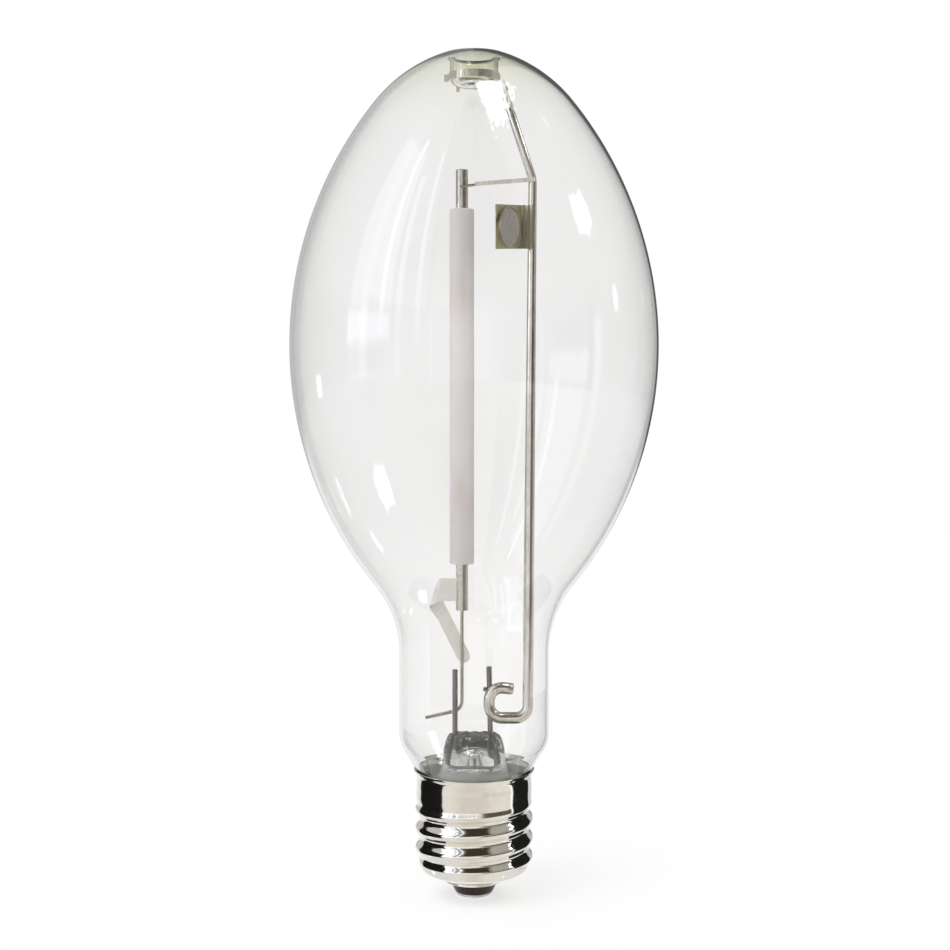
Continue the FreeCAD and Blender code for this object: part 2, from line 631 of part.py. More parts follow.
class ShellForm:
    """The rolled screw shell as a formula: a pressed sheet cap whose wall waves with the thread."""

    # Points up the conical floor, in a turn of the thread, up the skirt, up the rim and round
    floor_rows = 4
    rows_per_turn = 8
    skirt_rows = 3
    rim_rows = 4
    columns = 24

    def __init__(self):
        self.crest = value("Size.thread_crest_radius")
        self.root = value("Place.thread_root_radius")
        self.pitch = value("Size.thread_pitch")
        self.start = value("Size.thread_start_height")
        self.low = value("Place.thread_low_height")
        self.high = value("Place.thread_high_height")
        self.fade = value("Size.thread_fade")
        self.skirt = value("Place.skirt_radius")
        self.skirt_end = value("Place.skirt_end_height")
        self.rim = value("Place.rim_radius")
        self.flare = value("Size.rim_flare_length")
        self.floor_radius = value("Place.shell_floor_radius")
        self.floor_height = value("Place.shell_floor_height")
        self.hole_radius = value("Size.shell_hole_radius")
        self.hole_height = value("Size.shell_hole_height")
        self.corner_inset = value("Size.shell_corner_inset")
        self.corner_drop = value("Size.shell_corner_drop")
        self.corner_round = value("Size.shell_corner_round")
        self.corner_swell = value("Size.shell_corner_swell")
        self.wall_step = value("Size.shell_wall_step")

    def plain_radius(self, height):
        """Radius of the wall with the thread smoothed out."""
        middle = (self.crest + self.root) / 2
        foot = self.floor_radius + self.wall_step
        if height < self.low + self.fade:
            share = smooth((height - self.floor_height) / (self.low + self.fade - self.floor_height))
            return foot + (middle - foot) * share
        if height > self.high - self.fade:
            share = smooth((height - self.high + self.fade) / self.fade)
            base = middle + (self.skirt - middle) * share
            lift = smooth((height - self.skirt_end) / self.flare)
            return base + (self.rim - self.skirt) * lift
        return middle

    def thread(self, angle, height):
        """How far the wall stands out of its plain radius, a right-hand wave that fades at its ends."""
        if not self.low < height < self.high:
            return 0.0
        depth = (self.crest - self.root) / 2
        up = smooth((height - self.low) / self.fade)
        down = smooth((self.high - height) / self.fade)
        turn = 2 * math.pi * (height - self.start) / self.pitch - angle
        return depth * up * down * math.cos(turn)

    def rows(self):
        """The rows of points up the wall: the conical floor, its corner, the wall and the rim."""
        rows = []
        cone_radius = self.floor_radius - self.corner_inset - self.hole_radius
        cone_height = self.floor_height - self.corner_drop - self.hole_height
        for step in range(self.floor_rows):
            share = step / self.floor_rows
            rows.append((self.hole_radius + cone_radius * share, self.hole_height + cone_height * share))
        for out in (-self.corner_round, self.corner_swell):
            rows.append((self.floor_radius + out, self.floor_height + out))
        count = round((self.high - self.low) * self.rows_per_turn / self.pitch)
        for start, end, steps in ((self.low, self.high, count), (self.high, self.skirt_end, self.skirt_rows),
                                  (self.skirt_end, self.skirt_end + self.flare, self.rim_rows)):
            for step in range(steps):
                rows.append((None, start + (end - start) * step / steps))
        rows.append((None, self.skirt_end + self.flare))
        return rows

    def point(self, angle, row):
        radius, height = row
        if radius is None:
            radius = self.plain_radius(height) + self.thread(angle, height)
        return radius, height

    def grid(self, inset):
        """The points of the outer face, or of the inner one a sheet's thickness inside."""
        rows = self.rows()
        grid = []
        for column in range(self.columns + 1):
            angle = 2 * math.pi * (column % self.columns) / self.columns
            profile = [self.point(angle, row) for row in rows]
            line = []
            for index, (radius, height) in enumerate(profile):
                before = profile[max(index - 1, 0)]
                after = profile[min(index + 1, len(profile) - 1)]
                along = Vector(after[0] - before[0], after[1] - before[1], 0).normalize()
                inner_radius = radius - along.y * inset
                inner_height = height + along.x * inset
                line.append(Vector(inner_radius * math.cos(angle), inner_radius * math.sin(angle),
                                   inner_height))
            grid.append(line)
        return grid


def make_screw_shell():
    """Thin sheet shell with a rolled round thread, a conical floor and a flared rim."""
    form = ShellForm()
    faces = []
    for inset in (0.0, value("Size.shell_thickness")):
        surface = Part.BSplineSurface()
        surface.interpolate(form.grid(inset))
        faces.append(surface.toShape())
    rings = []
    for face in faces:
        loops = [edge for edge in face.Edges if edge.isClosed()]
        rings.append(sorted(loops, key=lambda edge: edge.BoundBox.ZMax))
    for outer, inner in zip(rings[0], rings[1]):
        faces.append(Part.makeRuledSurface(outer, inner))
    shell = Part.Shell(faces)
    shell.sewShape()
    solid = Part.Solid(Part.Shell(shell.Faces))
    if solid.Volume < 0:
        solid.reverse()
    piece = doc.addObject("Part::Feature", "screw_shell")
    piece.Label = "screw_shell"
    piece.Shape = solid
    piece.Placement = Placement()
    return piece


def make_insulator():
    """Moulded glass that fills the shell's floor and carries the centre contact."""
    body = new_body("insulator")
    gap = "Size.insulator_clearance"
    through = f"Size.shell_hole_radius - Size.shell_thickness / 2 - {gap}"
    rise = ("(Place.shell_floor_height - Size.shell_hole_height)"
            " / (Place.shell_floor_radius - Size.shell_hole_radius)")
    seat = f"Size.shell_hole_height + 2 * Size.shell_thickness + {gap}"
    revolve(body, "insulator_glass", [
        ("Size.insulator_hole_radius", "Size.insulator_foot_height"),
        ("Size.insulator_foot_radius", "Size.insulator_foot_height", "Size.insulator_foot_edge"),
        (through, "Size.shell_hole_height"),
        (through, seat),
        ("Place.insulator_inner_radius",
         f"{seat} + (Place.insulator_inner_radius - Size.shell_hole_radius) * {rise}"),
        ("Place.insulator_inner_radius", "Place.insulator_top_height"),
        ("Size.insulator_hole_radius", "Place.insulator_top_height"),
    ])
    return body


def make_centre_contact():
    """Pressed disc under the insulator with a hole for the lead."""
    body = new_body("centre_contact")
    revolve(body, "contact_disc", [
        ("Size.insulator_hole_radius", "Place.contact_underside_height"),
        ("Place.contact_radius", "Place.contact_underside_height", "Size.contact_edge"),
        ("Place.contact_radius", "Size.insulator_foot_height"),
        ("Size.insulator_hole_radius", "Size.insulator_foot_height"),
    ])
    return body


def make_centre_solder():
    """Flattened solder under the contact, the lamp's lowest point."""
    body = new_body("centre_solder")
    revolve(body, "solder_drop", [
        ("0", "0"),
        ("Size.solder_flat_radius", "0", "Size.solder_edge"),
        ("Size.solder_radius", "Place.contact_underside_height"),
        ("0", "Place.contact_underside_height"),
    ])
    return body


# Wires

def make_lead_wires():
    """Stout lead-in wires through the press, and the thin wires from there to the two contacts."""
    round_wire("left_lead_in", [
        ("-Place.left_lead_x", "Place.lead_foot_height"),
        ("-Place.left_lead_x", "Place.left_lead_top"),
    ], "Size.lead_radius")
    round_wire("right_lead_in", [
        ("Place.right_lead_x", "Place.lead_foot_height"),
        ("Place.right_lead_x", "Place.press_top_height", "Size.right_lead_bend"),
        ("Place.right_lead_top_x", "Place.right_lead_top"),
    ], "Size.lead_radius")
    round_wire("centre_lead_wire", [
        ("0", "Place.contact_underside_height"),
        ("0", "Place.centre_lead_axis_height", "Size.wire_bend"),
        ("-Place.left_lead_x", "Place.centre_lead_turn_height", "Size.wire_bend"),
        ("-Place.left_lead_x", "Place.lead_foot_height"),
    ], "Size.tail_lead_radius")
    shell_inside = "Place.thread_root_radius - Size.shell_thickness - Size.tail_lead_radius / 2"
    round_wire("side_lead_wire", [
        (shell_inside, "Place.side_lead_height"),
        ("Place.right_lead_x", "Place.side_lead_height", "Size.wire_bend"),
        ("Place.right_lead_x", "Place.lead_foot_height"),
    ], "Size.tail_lead_radius", "0", "YZ_Plane")


FRAME_DEPTH = "(Size.lead_radius + Size.frame_radius + Size.weld_clearance)"


def make_frame_wire():
    """Stout wire: a hook welded across the right lead-in, a long upright and a slant to the dimple."""
    clip_outer = "(Size.dimple_radius + Size.bulb_wall + Size.clip_clearance + Size.clip_thickness)"
    round_wire("frame_wire", [
        ("Size.hook_end_x", "Place.hook_top_height"),
        ("Place.right_lead_top_x", "Place.hook_top_height", "Size.hook_bend"),
        ("Place.right_lead_top_x", "Place.hook_bottom_height", "Size.hook_bend"),
        ("Size.frame_foot_x", "Place.hook_bottom_height", "Size.frame_foot_bend"),
        ("Place.frame_shoulder_x", "Place.frame_shoulder_height", "Size.frame_shoulder_bend"),
        (clip_outer, "Place.clip_foot_height - Size.frame_tip_drop"),
    ], "Size.frame_radius", FRAME_DEPTH, "YZ_Plane")


def support_depth(height):
    """How far behind the axis the support wire runs at a height; it leans back to pass the lead."""
    top = value("Place.support_top_height")
    crossing = value("Place.support_turn_height")
    top_depth = value("Size.support_top_depth")
    low_depth = value("Size.lead_radius + Size.support_radius + Size.weld_clearance")
    return low_depth + (top_depth - low_depth) * (height - crossing) / (top - crossing)


def make_support_wire():
    """Thin wire that reaches up into the lower niobium tube and crosses behind the left lead-in."""
    wire = round_wire("support_wire", [
        ("Size.arc_x", "Place.support_top_height"),
        ("Size.arc_x", "Place.support_turn_height", "Size.support_bend"),
        ("Place.support_tail_x", "Place.support_tail_height"),
    ], "Size.support_radius")
    crossing = value("Place.support_turn_height")
    low_depth = support_depth(crossing)
    rise = value("Place.support_top_height") - crossing
    lean = math.degrees(math.atan2(low_depth - value("Size.support_top_depth"), rise))
    wire.Placement = Placement(Vector(0, low_depth, 0), Rotation(Vector(1, 0, 0), lean),
                               Vector(0, 0, crossing))


def make_dimple_clip():
    """Open spring ring that grips the dimple from inside the bulb, with turned-out ears and a tab."""
    body = new_body("dimple_clip")
    inner = "(Size.dimple_radius + Size.bulb_wall + Size.clip_clearance)"
    outer = f"({inner} + Size.clip_thickness)"
    level = "Place.clip_foot_height"
    half_gap = "(Size.clip_gap_angle / 2)"

    def spot(radius, shift, side):
        """A point at a radius on one side of the gap, shifted away from the gap."""
        across = f"{radius} * cos({half_gap}) - {shift} * sin({half_gap})"
        up = f"{side} * ({radius} * sin({half_gap}) + {shift} * cos({half_gap}))"
        return across, up

    band = new_sketch(body, "clip_band", "XY_Plane", level)
    arcs = []
    for radius in (inner, outer):
        start = Vector(*[value(entry) for entry in spot(radius, "0", 1)], 0)
        end = Vector(*[value(entry) for entry in spot(radius, "0", -1)], 0)
        arc = band.addGeometry(arc_between(Vector(0, 0, 0), start, end, True))
        band.addConstraint(Sketcher.Constraint("Coincident", arc, 3, -1, 1))
        bind(band, Sketcher.Constraint("Radius", arc, value(radius)), radius)
        for position, side in ((1, 1), (2, -1)):
            up = spot(radius, "0", side)[1]
            bind(band, Sketcher.Constraint("DistanceY", -1, 1, arc, position, value(up)), up)
        arcs.append(arc)
    for position, side in ((1, 1), (2, -1)):
        ends = [Vector(*[value(entry) for entry in spot(radius, "0", side)], 0)
                for radius in (inner, outer)]
        end = band.addGeometry(Part.LineSegment(*ends))
        band.addConstraint(Sketcher.Constraint("Coincident", end, 1, arcs[0], position))
        band.addConstraint(Sketcher.Constraint("Coincident", end, 2, arcs[1], position))
    pad(body, "clip_ring", band, "Size.clip_height")

    tip = f"({outer} + Size.clip_ear_length)"
    for side, name in ((1, "near"), (-1, "far")):
        ear = new_sketch(body, f"{name}_ear_outline", "XY_Plane", level)
        outline(ear, [
            spot(inner, "0", side),
            spot(tip, "0", side),
            spot(tip, "Size.clip_thickness", side),
            spot(inner, "Size.clip_thickness", side),
        ])
        pad(body, f"{name}_ear", ear, "Size.clip_height")
    tab = new_sketch(body, "tab_outline", "XY_Plane", level)
    tab_root = f"({tip} - Size.clip_tab_width)"
    outline(tab, [
        spot(tab_root, "0", -1),
        spot(tip, "0", -1),
        spot(tip, "Size.clip_thickness", -1),
        spot(tab_root, "Size.clip_thickness", -1),
    ])
    hanging = pad(body, "hanging_tab", tab, "Size.clip_tab_length")
    hanging.Reversed = True
    body.Placement = Placement(Vector(), Rotation(AXIS_Z, value("Size.clip_gap_turn")))


# Arc tube

def place(body, across, depth, up, rotation=Rotation()):
    body.Placement = Placement(Vector(value(across), value(depth), value(up)), rotation)


def make_arc_tube():
    """Ceramic tube, its two end plugs, the niobium tubes through them and the electrodes."""
    tube_length = "(Place.arc_top_height - Place.arc_bottom_height)"
    bore = "Size.arc_radius - Size.arc_wall"
    tube = new_body("arc_tube")
    revolve(tube, "arc_tube_wall", [
        (bore, "0"),
        ("Size.arc_radius", "0", "Size.arc_edge"),
        ("Size.arc_radius", tube_length, "Size.arc_edge"),
        (bore, tube_length),
    ])
    place(tube, "Size.arc_x", "0", "Place.arc_bottom_height")

    ends = (
        ("upper", "Place.arc_top_height", "Place.upper_niobium_height - Place.arc_top_height", Rotation()),
        ("lower", "Place.arc_bottom_height", "Place.arc_bottom_height - Place.lower_niobium_height",
         Rotation(Vector(1, 0, 0), 180)),
    )
    # Each end is drawn with the tube's end face at zero and its outside upwards
    for name, height, outside, turn in ends:
        plug = new_body(name + "_end_plug")
        revolve(plug, name + "_plug", [
            ("Size.niobium_radius", "-Size.plug_length"),
            (bore, "-Size.plug_length"),
            (bore, "0"),
            ("Size.niobium_radius", "0"),
        ])
        place(plug, "Size.arc_x", "0", height, turn)

        tube_bore = "Size.niobium_radius - Size.niobium_wall"
        shank_hole = "Size.electrode_radius"
        bore_floor = "Size.electrode_shank - Size.plug_length"
        sleeve = new_body(name + "_niobium_tube")
        if name == "upper":
            crown = [
                (tube_bore, f"{outside} - Size.niobium_wall"),
                ("0", f"{outside} - Size.niobium_wall"),
                ("0", outside),
                ("Size.niobium_radius", outside, "Size.niobium_edge"),
            ]
        else:
            crown = [
                (tube_bore, outside),
                ("Size.niobium_radius", outside),
            ]
        revolve(sleeve, name + "_niobium_wall", [
            ("Size.niobium_radius", "-Size.plug_length"),
            (shank_hole, "-Size.plug_length"),
            (shank_hole, bore_floor),
            (tube_bore, bore_floor),
        ] + crown)
        place(sleeve, "Size.arc_x", "0", height, turn)

        electrode = new_body(name + "_electrode")
        tip = "(-Size.plug_length - Size.electrode_length)"
        revolve(electrode, name + "_rod", [
            ("0", tip),
            ("Size.electrode_radius", tip, "Size.electrode_tip_round"),
            ("Size.electrode_radius", bore_floor),
            ("0", bore_floor),
        ])
        turn_sketch = new_sketch(electrode, name + "_coil_turn", "XZ_Plane")
        circle(turn_sketch, "Size.electrode_radius + Size.coil_wire_radius - Size.coil_bite",
               f"{tip} + Size.coil_tip_gap", "Size.coil_wire_radius")
        ring = electrode.newObject("PartDesign::Revolution", name + "_coil_ring")
        ring.Profile = turn_sketch
        ring.ReferenceAxis = (turn_sketch, ["V_Axis"])
        ring.Angle = 360
        doc.recompute()
        turns = electrode.newObject("PartDesign::LinearPattern", name + "_coil")
        turns.Originals = [ring]
        turns.Direction = (turn_sketch, ["V_Axis"])
        turns.setExpression("Length", "Size.coil_length")
        turns.setExpression("Occurrences", "floor(Size.coil_length / Size.coil_pitch) + 1")
        electrode.Tip = turns
        place(electrode, "Size.arc_x", "0", height, turn)

    amalgam = new_body("amalgam")
    revolve(amalgam, "amalgam_bead", [
        ("0", "0"),
        ("Size.amalgam_radius", "0"),
        ("Size.amalgam_radius", "Size.amalgam_height", "Size.amalgam_height / 2"),
        ("0", "Size.amalgam_height"),
    ])
    floor_height = ("Place.arc_top_height - Size.plug_length + Size.electrode_shank"
                    " + Size.weld_clearance")
    place(amalgam, "Size.arc_x", "0", floor_height)


def make_connector():
    """A light wire across the front of the upper niobium tube, welded to a strip to the frame wire."""
    wire_depth = "-(Size.niobium_radius + Size.connector_wire_radius + Size.weld_clearance)"
    strip_far = ("-(Size.lead_radius + Size.frame_radius + Size.frame_radius + Size.weld_clearance * 2"
                 " + Size.connector_strip_thickness)")
    overlap = value("Place.connector_left_x + Size.connector_overlap")
    left = Vector(value("Place.connector_left_x"),
                  value(f"{wire_depth} - Size.connector_wire_radius - Size.weld_clearance"
                        " - Size.connector_strip_thickness"),
                  value("Place.connector_left_height"))
    right = Vector(value("Place.frame_shoulder_x + Size.frame_radius / 2"), value(strip_far),
                   value("Place.connector_right_height"))
    run = right - left
    level = Vector(run.x, run.y, 0)
    turn = Rotation(AXIS_Z, math.degrees(math.atan2(run.y, run.x)))
    tilt = Rotation(Vector(0, 1, 0), -math.degrees(math.atan2(run.z, level.Length)))
    strip = doc.addObject("Part::Box", "connector_strip")
    strip.Label = "connector_strip"
    strip.Length = run.Length
    strip.setExpression("Width", "Size.connector_strip_thickness")
    strip.setExpression("Height", "Size.connector_strip_height")
    half = value("Size.connector_strip_height / 2")
    strip.Placement = Placement(left - Vector(0, 0, half), turn.multiply(tilt))

    start = Vector(value("Place.connector_wire_left_x"), value(wire_depth),
                   value("Place.connector_wire_left_height"))
    end = Vector(overlap, value(wire_depth), value("Place.connector_left_height"))
    reach = end - start
    wire = doc.addObject("Part::Cylinder", "connector_wire")
    wire.Label = "connector_wire"
    wire.setExpression("Radius", "Size.connector_wire_radius")
    wire.Height = reach.Length
    wire.Placement = Placement(start, Rotation(AXIS_Z, reach))


def make_getter():
    """Flag with a fluted weld tab on the frame wire and a pressed cup that holds the getter."""
    flag = new_body("getter_flag")
    face = new_sketch(flag, "flag_outline", "XZ_Plane")
    outline(face, [
        ("0", "0"),
        ("0", "Size.getter_flag_height"),
        ("-Size.getter_flag_length", "Size.getter_flag_height - Size.getter_flag_drop"),
        ("-Size.getter_flag_length", "-Size.getter_flag_drop"),
    ])
    sheet_metal = pad(flag, "flag_plate", face, "Size.getter_thickness")
    sheet_metal.Reversed = True

    # The tab's section runs from the bend to its end with its flutes, then back at the sheet's thickness
    flutes = round(value("Size.getter_flutes"))
    runs = 2 * flutes
    front = []
    back = []
    for run in range(runs + 1):
        reach = f"(Size.getter_tab_length * {run} / {runs})"
        rise = "Size.getter_flute_depth" if run % 2 else "0"
        for side, points in (("0", front), ("Size.getter_thickness", back)):
            out = f"({rise} - {side})"
            points.append((
                f"{reach} * cos(Size.getter_turn) - {out} * sin(Size.getter_turn)",
                f"-{reach} * sin(Size.getter_turn) - {out} * cos(Size.getter_turn)",
            ))
    section = new_sketch(flag, "tab_section", "XY_Plane")
    outline(section, front + back[::-1] + [("0", "Size.getter_thickness")])
    pad(flag, "weld_tab", section, "Size.getter_flag_height")

    middle = ("-Size.getter_flag_length / 2", "(Size.getter_flag_height - Size.getter_flag_drop) / 2")
    cup = new_sketch(flag, "cup_rings", "XZ_Plane")
    circle(cup, *middle, "Size.getter_cup_radius")
    circle(cup, *middle, "Size.getter_cup_radius - Size.getter_cup_rim")
    pad(flag, "cup_rim", cup, "Size.getter_cup_height")

    pellet = new_body("getter_pellet")
    disc = new_sketch(pellet, "pellet_outline", "XZ_Plane")
    circle(disc, *middle, "Size.getter_cup_radius - Size.getter_cup_rim - Size.getter_pellet_clearance")
    pad(pellet, "pellet_disc", disc, "Size.getter_pellet_height")
    depth = f"-({FRAME_DEPTH} + Size.frame_radius + Size.getter_thickness + Size.weld_clearance)"
    for body in (flag, pellet):
        place(body, "Place.getter_bend_x", depth, "Place.getter_foot_height",
              Rotation(AXIS_Z, value("Size.getter_turn")))


def make_strap():
    """Thin strap: welded round the niobium tube, folded back on a slant and led down to the wire."""
    thick = value("Size.strap_thickness")
    top = value("Place.strap_top_height")
    low = top - value("Size.strap_width")
    tube_x = value("Size.arc_x")
    tube_radius = value("Size.niobium_radius + Size.weld_clearance") + thick / 2
    weld = math.radians(value("Size.strap_weld_angle"))
    weld_x = tube_x - tube_radius * math.cos(weld)
    front = -tube_radius * math.sin(weld)
    fold_x = tube_x - tube_radius - value("Size.strap_reach")
    fold_round = value("Size.strap_fold_round")
    weld_end = weld_x - value("Size.strap_weld_length")
    upper_drop = value("Size.strap_fold_upper_drop")
    lower_drop = value("Size.strap_fold_lower_drop")
    lower_reach = value("Size.strap_fold_lower_reach")
    back = support_depth(value("Place.strap_leg_foot_height"))
    back += value("Size.support_radius + Size.weld_clearance") + thick / 2
    behind = front + value("Size.strap_fold_depth")
    lean = math.radians(value("Size.strap_leg_lean"))
    down = Vector(math.sin(lean), 0, -math.cos(lean))
    across = Vector(math.cos(lean), 0, math.sin(lean))
    half_leg = value("Size.strap_leg_width") / 2
    foot_height = value("Place.strap_leg_foot_height") + half_leg
    foot = Vector(tube_x + value("Size.strap_foot_offset"), back, foot_height)
    leg_length = (foot.z - (top + low) / 2 + value("Size.strap_leg_head_rise")) / down.z
    head = foot - down * leg_length
    head.y = behind

    # Each rung crosses the strap from its upper edge to its lower one
    rungs = [
        (Vector(weld_x, front, top), Vector(weld_x, front, low)),
        (Vector(weld_end, front, top), Vector(weld_end, front, low)),
        (Vector(fold_x + fold_round, front, top), Vector(fold_x + fold_round, front, low)),
    ]
    bends = 4
    for bend in range(1, bends + 1):
        share = bend / bends
        turn = math.pi * share
        depth = (front + behind) / 2 - (behind - front) / 2 * math.cos(turn)
        across_fold = fold_x + fold_round - fold_round * math.sin(turn * 3 / 4)
        upper = Vector(across_fold, depth, top - upper_drop * share ** 2)
        lower = Vector(across_fold - lower_reach * smooth(share * 2), depth, low - lower_drop * share)
        rungs.append((upper, lower))
    steps = 4
    for step in range(1, steps + 1):
        middle = head + (foot - head) * (step / steps)
        rungs.append((middle + across * half_leg, middle - across * half_leg))
    for share in (0.5, 0.8, 0.95):
        middle = foot + down * (half_leg * share)
        reach = half_leg * math.sqrt(1 - share ** 2)
        rungs.append((middle + across * reach, middle - across * reach))

    sections = []
    for index, (upper, lower) in enumerate(rungs):
        before = rungs[max(index - 1, 0)]
        after = rungs[min(index + 1, len(rungs) - 1)]
        along = (after[0] + after[1]) - (before[0] + before[1])
        normal = along.cross(upper - lower).normalize() * (thick / 2)
        corners = [upper + normal, lower + normal, lower - normal, upper - normal]
        sections.append(Part.makePolygon(corners + corners[:1]))
    piece = doc.addObject("Part::Feature", "expansion_strap")
    piece.Label = "expansion_strap"
    piece.Shape = Part.makeLoft(sections, True, True)
    piece.Placement = Placement()


make_envelope()
make_stem()
make_screw_shell()
make_insulator()
make_centre_contact()
make_centre_solder()
make_lead_wires()
make_frame_wire()
make_dimple_clip()
make_support_wire()
make_arc_tube()
make_connector()
make_getter()
make_strap()
doc.recompute()

failed = [item.Name for item in doc.Objects if "Invalid" in item.State or "Error" in item.State]
if failed:
    raise RuntimeError(f"failed features: {failed}")
pieces = [item for item in doc.Objects
          if item.TypeId in ("PartDesign::Body", "Part::Feature", "Part::Box", "Part::Cylinder")]
os.makedirs("parts", exist_ok=True)
for piece in pieces:
    if piece.Shape.isNull() or not piece.Shape.isValid():
        raise RuntimeError(f"{piece.Label} has no sound shape")
for piece in pieces:
    piece.Shape.exportStep(f"parts/{piece.Label}.step")
    print(piece.Label, len(piece.Shape.Solids), round(piece.Shape.Volume, 2))
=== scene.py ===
import json
import math
import random

import bpy
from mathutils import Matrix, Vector


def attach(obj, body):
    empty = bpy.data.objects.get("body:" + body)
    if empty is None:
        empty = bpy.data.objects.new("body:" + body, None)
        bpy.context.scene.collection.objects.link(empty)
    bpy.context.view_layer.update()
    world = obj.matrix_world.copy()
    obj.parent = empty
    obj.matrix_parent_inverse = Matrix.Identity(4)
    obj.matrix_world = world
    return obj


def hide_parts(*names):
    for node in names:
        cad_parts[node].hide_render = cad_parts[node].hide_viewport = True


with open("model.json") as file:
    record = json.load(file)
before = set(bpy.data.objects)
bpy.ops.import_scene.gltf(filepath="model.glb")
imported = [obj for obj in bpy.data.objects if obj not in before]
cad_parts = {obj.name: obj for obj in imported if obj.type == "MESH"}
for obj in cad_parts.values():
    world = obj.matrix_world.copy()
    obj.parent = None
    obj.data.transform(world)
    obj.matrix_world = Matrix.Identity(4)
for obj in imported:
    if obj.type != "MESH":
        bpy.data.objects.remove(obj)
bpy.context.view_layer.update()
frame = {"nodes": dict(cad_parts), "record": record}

# Clear discharge lamp with a dimpled elliptical envelope, seen from its front (-Y), base down.
# Lengths are in metres; MM turns the sizes below, which are millimetres, into them.

MM = 0.001
scene = bpy.context.scene


# Envelope

BULB_RADIUS = 60.5
BULB_MIDDLE = 181.8
BULB_TOP = 277.7
BULB_WALL = 1.1
BULB_COLUMNS = 192
TIP_ARC = 50.0
TIP_OFFSET = 6.4
NECK_RADIUS = 24.8
NECK_ARC = 36.0
NECK_TOP = 80.6
SHOULDER_HEIGHT = 51.5
SHOULDER_ARC = 10.0
THROAT_RADIUS = 17.3
THROAT_HEIGHT = 39.3
THROAT_ARC = 4.0
NECK_END = 34.0
DIMPLE_RADIUS = 6.9
DIMPLE_FLOOR = 267.9
DIMPLE_FLOOR_ARC = 2.5
LIP_ARC = 2.2


# Stem: the press has half width, half depth and height, all the rest radius and height

STEM_COLUMNS = 120
PRESS_FOOT = 45.2
PRESS_BLEND = 7.0
PRESS_TOP = 53.75
PRESS = ((3.0, 1.2, 53.8), (6.0, 2.6, 53.75), (7.6, 3.8, 53.5), (8.4, 4.6, 53.0), (9.0, 5.4, 52.2),
         (9.5, 6.4, 51.0), (9.9, 7.6, 49.6), (10.2, 8.9, 48.0), (10.4, 10.1, 46.4))
FLARE = ((10.6, 45.2), (10.9, 43.2), (11.5, 41.0), (12.6, 39.2), (14.0, 37.2), (15.4, 35.2), (15.4, 34.0))
FLARE_FOOT = ((17.3, 34.0), (17.3, 32.9), (17.1, 32.8), (14.2, 32.8))
HOLLOW = ((14.2, 34.8), (12.6, 37.2), (11.3, 38.9), (10.2, 40.4), (9.6, 42.6), (9.2, 43.8), (8.4, 44.4),
          (3.2, 44.4))
EXHAUST = ((3.2, 17.8), (2.6, 16.4), (1.4, 16.0))
EXHAUST_BOTTOM = 16.0
BORE_BOTTOM = 18.0
BORE = ((2.0, 18.2), (2.2, 18.6), (2.2, 45.0), (1.6, 45.6))
BORE_TOP = 45.8

# How the press swells over its two leads and sinks between them, and the waves of its top edge
LEAD_PLACE = 5.9
LEAD_REACH = 1.7
MIDDLE_REACH = 2.6
PRESS_SWELL = 0.13
PRESS_SQUARENESS = 1.3
PRESS_WAVES = ((0.18, 2.1, 0.7), (0.10, 5.3, 2.0))


# Stout wire: corners from the hook's end to the dimple, as x, height and bend radius

FRAME_DEPTH = 2.38
FRAME_CORNERS = ((12.4, 68.9), (4.95, 69.7, 4.3), (4.95, 59.3, 4.3), (17.6, 59.3, 4.0),
                 (19.2, 236.1, 9.0), (8.85, 267.9))
FRAME_RADIUS = 1.38
FRAME_THICKER = ((0.12, 40.0, 120.0), (0.42, 24.0, 14.0))


# Weld beads: name, place, half sizes and slot

BEADS = (("weld_at_hook", (3.7, -1.3, 68.6), (0.75, 0.9, 0.8), "lead_metal"),
         ("weld_at_shoulder", (19.1, -2.9, 236.2), (0.85, 1.15, 0.8), "frame_metal"),
         ("weld_on_lead", (-7.0, 0.3, 60.9), (0.5, 0.8, 0.75), "tail_metal"))
BEAD_ROWS = 9
BEAD_COLUMNS = 16
BEAD_UNEVEN = 0.08


# Camera: place in metres, tilt from straight down in degrees, lens and sensor in millimetres, shift

CAMERA_PLACE = (0.0, -0.515, 0.168)
CAMERA_TILT = 89.0
CAMERA_LENS = 59.14
CAMERA_SENSOR = 36.0
CAMERA_SHIFT = (0.001, -0.063)

LONG_PATHS = 24
GLOSSY_PATHS = 8
DIFFUSE_PATHS = 4


# Glass: share of a lamp's light let through, and the tint and roughness where it is milky.
# Painted shade where the electrodes show dimly through the ceramic: its tint and soft edge. Dark spots in
# metal.

LET_THROUGH = 0.94
MILKY_TINT = (0.50, 0.54, 0.48, 1)
MILKY_ROUGHNESS = 0.5
ELECTRODE_SHADE_TINT = (0.93, 0.86, 0.82, 1)
ELECTRODE_SHADE_SOFTNESS = 5.0
SPOT_SHADE = (0.05, 0.04, 0.03, 1)


# What the lamp mirrors. Directions are in degrees: across to the right of the front, rise above
# the horizon.

FRONT_LOW = ((-34, 30, 20), (0.82, 0.79, 0.73, 1), (0.70, 0.665, 0.60, 1))
FRONT_LEVEL = ((14, 86, 9), (0.97, 0.96, 0.95, 1), (0.10, 0.085, 0.065, 1))
LEVEL_START = (-100, -10.5, 0.8)
SIDE_START = (-100, -7, 3)
CEILING = ((12, 200, 8), (0.40, 0.395, 0.37, 1))

# Across, rise, share and colour of what hangs overhead
OVERHEAD = (((-48, 70, 8), (22, 30, 3), 0.6, (0.20, 0.19, 0.14, 1)),
            ((-30, 34, 8), (26, 84, 5), 0.96, (0.030, 0.022, 0.010, 1)))

